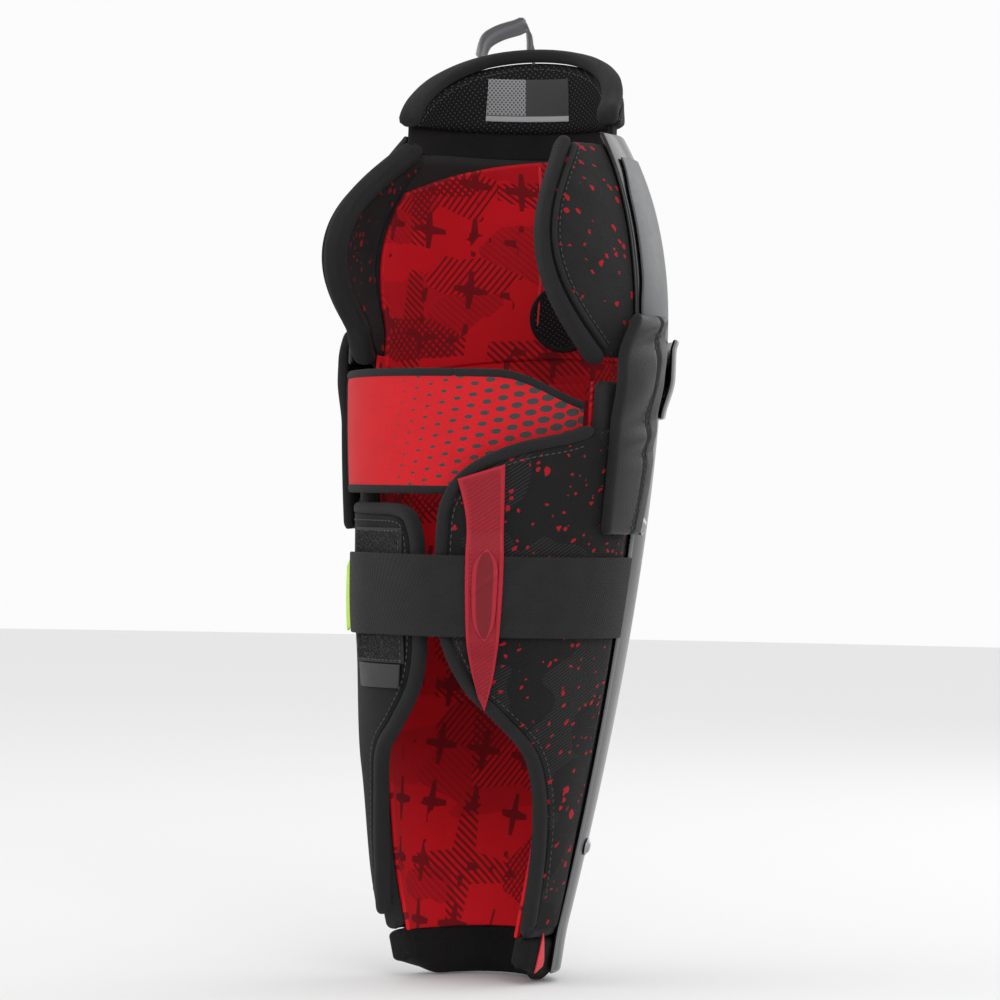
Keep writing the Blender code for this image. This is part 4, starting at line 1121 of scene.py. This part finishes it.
def build_elastic_strap():
    low, high = STRAP_BOTTOM, STRAP_BOTTOM + STRAP_WIDTH
    solid("Elastic_strap", WEBBING, OVER_OUTER, shin, *band(88.0, 161.0, low, high), STRAP_LIFT, 0.002,
          along=100, across=26, rounding=0.0009, nodes=("elastic_strap", "strap_anchor"))

    def sway(b, z, s, t):
        return STRAP_LIFT + 0.0006 * np.sin(np.radians(b) * 7.0)
    solid("Strap_tail", WEBBING, OVER_STRAP, shin, *band(157.0, TAIL_END, low, high), sway, 0.002, along=90,
          across=26, rounding=0.0009, nodes=("strap_tail",))
    inset = level(TAIL_END - 3.0, TAIL_END - 3.0, 0.0, 20)
    inset[:, 1] = np.linspace(low + 0.003, high - 0.003, 20)
    stitch_line("strap_tail_body", shin, inset, STRAP_LIFT + 0.0003)
    solid("Pull_tab", LIME, "strap_tail_body", shin, ((226.0, 0.184), (235.0, 0.1815)),
          ((226.0, 0.2195), (231.5, 0.2155)), STRAP_LIFT + 0.0004, 0.0016, along=20, across=30,
          rounding=0.0008, nodes=("pull_tab",))
    solid("Hook_patch", PILE, "strap_tail_body", shin,
          *band(204.0, TAIL_END - 1.0, low + 0.003, high - 0.003), STRAP_LIFT - 0.0024, 0.0009, along=30,
          across=20, rounding=0.0004, nodes=("hook_patch",), slot="elastic_webbing")


def calf_height(b, z, s, t):
    inside = -(WRAP + GAP + 0.0025)
    return inside + 0.004 * smooth((b - 175.0) / 50.0)


def build_calf_strap():
    low, high = CALF_BOTTOM, CALF_BOTTOM + CALF_WIDTH

    def top_edge(bearing):
        return high + 0.0012 * np.sin(np.radians(bearing - 120.0)
                                      * 1.6) - 0.0155 * smooth((153.0 - bearing) / 42.0)
    for name, words, start, end, nodes in (("Calf_strap", "outer_wrap_body", 115.0, 171.0, ("calf_strap",)),
                                           ("Calf_strap_tail", OVER_CALF, 169.5, CALF_TAIL_END,
                                            ("calf_strap_tail",))):
        solid(name, HALFTONE, words, plain_shin, *band(start, end, low, top_edge), calf_height, 0.003,
              along=100, across=40, rounding=0.0014, nodes=nodes, padded=0.3)
        for where, z in (("upper", top_edge), ("lower", low)):
            path = level(start, end, z, 70)
            height = calf_height(path[:, 0], 0, 0, 0) - 0.0015
            piping(f"{name}_{where}_binding", BINDING, words, plain_shin, path, height, 0.0024, 0.0022)
    end_path = np.stack((np.full(30, CALF_TAIL_END), np.linspace(low, high, 30)), axis=1)
    height = calf_height(end_path[:, 0], 0, 0, 0) - 0.0015
    piping("Calf_tail_end_binding", BINDING, "calf_tail_body", plain_shin, end_path, height, 0.0022, 0.0022)


def keeper_lift(b, z):
    middle = STRAP_BOTTOM + STRAP_WIDTH / 2.0
    over = 1.0 - smooth((np.abs(z - middle) - STRAP_WIDTH / 2.0 - 0.001) / 0.012)
    return KEEPER_LIFT + (STRAP_LIFT + GAP + 0.0025 - KEEPER_LIFT) * over


def build_keeper():
    """Moulded keeper with slanting ribs inside a plain border, and its sunk badge."""
    left = curve_through(((165.5, 0.262), (162.0, 0.240), (161.5, 0.204), (160.0, 0.172), (155.5, 0.150)),
                         80)
    right = curve_through(((149.0, 0.270), (148.5, 0.240), (148.0, 0.204), (149.0, 0.167), (152.5, 0.143)),
                          80)

    def relief(b, z, s, t):
        u = np.radians(b) * 0.078
        rib = 0.5 + 0.5 * np.sin((u * 0.75 + z) * 2.0 * math.pi / 0.0023)
        from_side, from_end = np.minimum(t, 1.0 - t), np.minimum(s, 1.0 - s)
        border = smooth((from_side - 0.10) / 0.06) * smooth((from_end - 0.025) / 0.02)
        recess = rounded_box(b, z, 154.5, 5.4, 0.203, 0.026, 1.2, 0.006)
        return keeper_lift(b, z) + border * (0.0005 * rib
                                             - 0.0006) * (1.0 - recess) - 0.0007 * recess * border
    solid("Strap_keeper", RUBBER, "outer_wrap_body", shin, left, right, relief, 0.0025, along=300,
          across=46, rounding=0.0012, nodes=("strap_keeper",))
    left = curve_through(((155.0, 0.226), (158.6, 0.218), (159.0, 0.203), (158.0, 0.188), (154.5, 0.180)),
                         40)
    right = curve_through(((154.0, 0.227), (150.4, 0.219), (150.0, 0.203), (150.6, 0.188), (153.5, 0.179)),
                          40)

    def badge(b, z, s, t):
        bars = rounded_box(b + 900.0 * (z - 0.209), z, 154.5, 2.0, 0.203, 0.020, 0.9, 0.003)
        return keeper_lift(b, z) + 0.0002 + 0.0004 * bars
    solid("Keeper_badge", BADGE, "outer_wrap_body", shin, left, right, badge, 0.0008, along=90, across=30,
          rounding=0.0006, nodes=("keeper_badge",))


# ---------------------------------------------------------------- repeated details

def bake_tree(obj, tree, values, body, mat, name):
    """Runs a Geometry Nodes tree on an object and keeps the result as a plain mesh on a body."""
    modifier = obj.modifiers.new("Tree", "NODES")
    modifier.node_group = tree
    for item in tree.interface.items_tree:
        if item.in_out == "INPUT" and item.name in values:
            modifier[item.identifier] = values[item.name]
    bpy.context.view_layer.update()
    mesh = bpy.data.meshes.new_from_object(obj.evaluated_get(bpy.context.evaluated_depsgraph_get()))
    obj.modifiers.remove(modifier)
    mesh.name = name
    if not mesh.materials:
        mesh.materials.append(mat)
    piece = new_object(name, mesh)
    attach(piece, body)
    return piece


def tree_with(name, inputs):
    tree = bpy.data.node_groups.new(name, "GeometryNodeTree")
    tree.interface.new_socket("Geometry", in_out="INPUT", socket_type="NodeSocketGeometry")
    for label, kind, value in inputs:
        tree.interface.new_socket(label, in_out="INPUT", socket_type="NodeSocket"
                                  + kind).default_value = value
    tree.interface.new_socket("Geometry", in_out="OUTPUT", socket_type="NodeSocketGeometry")
    return tree, tree.nodes.new("NodeGroupInput").outputs, tree.nodes.new("NodeGroupOutput").inputs


def stitch_tree():
    """Short capsules of thread at an even pitch along lines."""
    tree, given, out = tree_with("Stitch lines",
                                 (("Pitch", "Float", STITCH_PITCH), ("Stitch Length", "Float", 0.0024),
                                  ("Thread Radius", "Float", 0.00028)))
    curve = node(tree, "GeometryNodeMeshToCurve", {"Mesh": given["Geometry"]})
    even = node(tree, "GeometryNodeResampleCurve", {"Curve": curve.outputs[0], "Length": given["Pitch"]},
                mode="LENGTH")
    tangent = node(tree, "GeometryNodeInputTangent")
    turn = node(tree, "FunctionNodeAlignRotationToVector", {"Vector": tangent.outputs[0]}, axis="X")
    ball = node(tree, "GeometryNodeMeshUVSphere", {"Segments": 6, "Rings": 5, "Radius": 1.0})
    size = node(tree, "ShaderNodeCombineXYZ", {"X": multiply(given["Stitch Length"], 0.5),
                                               "Y": given["Thread Radius"], "Z": given["Thread Radius"]})
    copies = node(tree, "GeometryNodeInstanceOnPoints",
                  {"Points": even.outputs[0], "Instance": ball.outputs[0], "Rotation": turn.outputs[0],
                   "Scale": size.outputs[0]})
    whole = node(tree, "GeometryNodeRealizeInstances", {0: copies.outputs[0]})
    finish = node(tree, "GeometryNodeSetMaterial", {"Geometry": whole.outputs[0], "Material": THREAD})
    shade = node(tree, "GeometryNodeSetShadeSmooth", {0: finish.outputs[0]})
    feed(out["Geometry"], shade.outputs[0])
    return tree


def build_stitches():
    tree = stitch_tree()
    for body, lines in STITCH_LINES.items():
        verts = np.concatenate(lines)
        edges = []
        start = 0
        for line in lines:
            edges += [(start + i, start + i + 1) for i in range(len(line) - 1)]
            start += len(line)
        mesh = bpy.data.meshes.new("Stitch_path")
        mesh.from_pydata([tuple(v) for v in verts], edges, [])
        path = new_object("Stitch_path", mesh)
        bake_tree(path, tree, {}, body, THREAD, f"Stitches_{body}")
        bpy.data.objects.remove(path, do_unlink=True)


def pile_tree():
    """Tufts of looped pile scattered over the patch."""
    tree, given, out = tree_with("Loop pile", (("Density", "Float", 900000.0), ("Tuft", "Float", 0.0007),
                                               ("Seed", "Int", 4)))
    spots = node(tree, "GeometryNodeDistributePointsOnFaces",
                 {"Mesh": given["Geometry"], "Density": given["Density"], "Seed": given["Seed"]})
    loop = node(tree, "GeometryNodeMeshUVSphere", {"Segments": 5, "Rings": 4, "Radius": 1.0})
    chance = node(tree, "FunctionNodeRandomValue", {"Seed": given["Seed"]}, data_type="FLOAT_VECTOR")
    chance.inputs[0].default_value = (0.35, 0.35, 0.25)
    chance.inputs[1].default_value = (1.0, 0.7, 0.8)
    size = node(tree, "ShaderNodeVectorMath", {0: chance.outputs[0], 3: given["Tuft"]}, operation="SCALE")
    copies = node(tree, "GeometryNodeInstanceOnPoints",
                  {"Points": spots.outputs[0], "Instance": loop.outputs[0],
                   "Rotation": spots.outputs["Rotation"], "Scale": size.outputs[0]})
    whole = node(tree, "GeometryNodeRealizeInstances", {0: copies.outputs[0]})
    finish = node(tree, "GeometryNodeSetMaterial", {"Geometry": whole.outputs[0], "Material": PILE})
    feed(out["Geometry"], finish.outputs[0])
    return tree


def build_pile():
    """Pile on the outer face of the loop patch only."""
    low, high = band(*PILE_SIDES, *PILE_HEIGHTS, 30)
    t = np.linspace(0.0, 1.0, 30)[None, :, None]
    grid = low[:, None, :] + (high - low)[:, None, :] * t
    verts = lay(shin, grid[..., 0], grid[..., 1], 0.0001).reshape(-1, 3)
    quads = grid_faces(30, 30)
    mesh = bpy.data.meshes.new("Pile_ground")
    mesh.from_pydata([tuple(v) for v in verts], [], [tuple(int(i) for i in f) for f in quads[:, ::-1]])
    ground = new_object("Pile_ground", mesh)
    bake_tree(ground, pile_tree(), {"Seed": 4}, "inner_wrap_body", PILE, "Loop_pile")
    bpy.data.objects.remove(ground, do_unlink=True)


# ---------------------------------------------------------------- stage

def build_stage():
    floor_height = CAD_BOX[0][2] - 0.002
    bpy.ops.mesh.primitive_circle_add(vertices=96, radius=6.0, fill_type="NGON",
                                      location=(0.0, 0.0, floor_height))
    floor = bpy.context.object
    floor.name = "Floor"
    mat = bpy.data.materials.new("Pale floor")
    mat.use_nodes = True
    mat.node_tree.nodes["Principled BSDF"].inputs["Base Color"].default_value = (0.80, 0.80, 0.80, 1.0)
    mat.node_tree.nodes["Principled BSDF"].inputs["Roughness"].default_value = 0.9
    floor.data.materials.append(mat)
    world = bpy.data.worlds.new("Soft room")
    bpy.context.scene.world = world
    world.use_nodes = True
    world.node_tree.nodes["Background"].inputs[0].default_value = (1.0, 1.0, 1.0, 1.0)
    world.node_tree.nodes["Background"].inputs[1].default_value = 0.97
    for name, place, size, power in (("Key", (-1.4, 1.8, 1.5), 1.2, 15.0),
                                     ("Fill", (1.6, 1.4, 0.7), 1.4, 7.0),
                                     ("Front", (-0.8, -1.8, 1.2), 1.4, 10.0)):
        data = bpy.data.lights.new(name, "AREA")
        data.size = size
        data.energy = power
        lamp = new_object(name, data)
        lamp.location = place
        aim = Vector((0.0, 0.0, 0.27)) - Vector(place)
        lamp.rotation_euler = aim.to_track_quat("-Z", "Y").to_euler()
    bpy.context.scene.view_settings.view_transform = "Standard"


def build_camera():
    azimuth = math.radians(207.0)
    distance = 2.4
    seen = 0.5285
    right = Vector((math.cos(azimuth), math.sin(azimuth), 0.0))
    toward = Vector((math.sin(azimuth), -math.cos(azimuth), 0.0))
    target = Vector((0.0, 0.0, 0.2515)) + right * 0.006
    data = bpy.data.cameras.new("Camera")
    data.sensor_width = 36.0
    data.lens = 36.0 * distance / seen
    camera = new_object("Camera", data)
    camera.location = target + toward * distance
    look = (-toward).to_track_quat("-Z", "Y").to_matrix().to_4x4()
    roll = Matrix.Rotation(math.radians(1.1), 4, "Z")
    camera.matrix_world = Matrix.Translation(camera.location) @ look @ roll
    bpy.context.scene.camera = camera


def main():
    build_camera()
    build_stage()
    build_shell()
    build_shin_padding()
    for side, label in SIDES:
        build_bolster(side, label)
        build_wing(side, label)
    build_cap()
    build_knee_padding()
    build_thigh()
    build_outer_wrap()
    build_inner_wrap()
    build_elastic_strap()
    build_calf_strap()
    build_keeper()
    build_stitches()
    build_pile()


main()
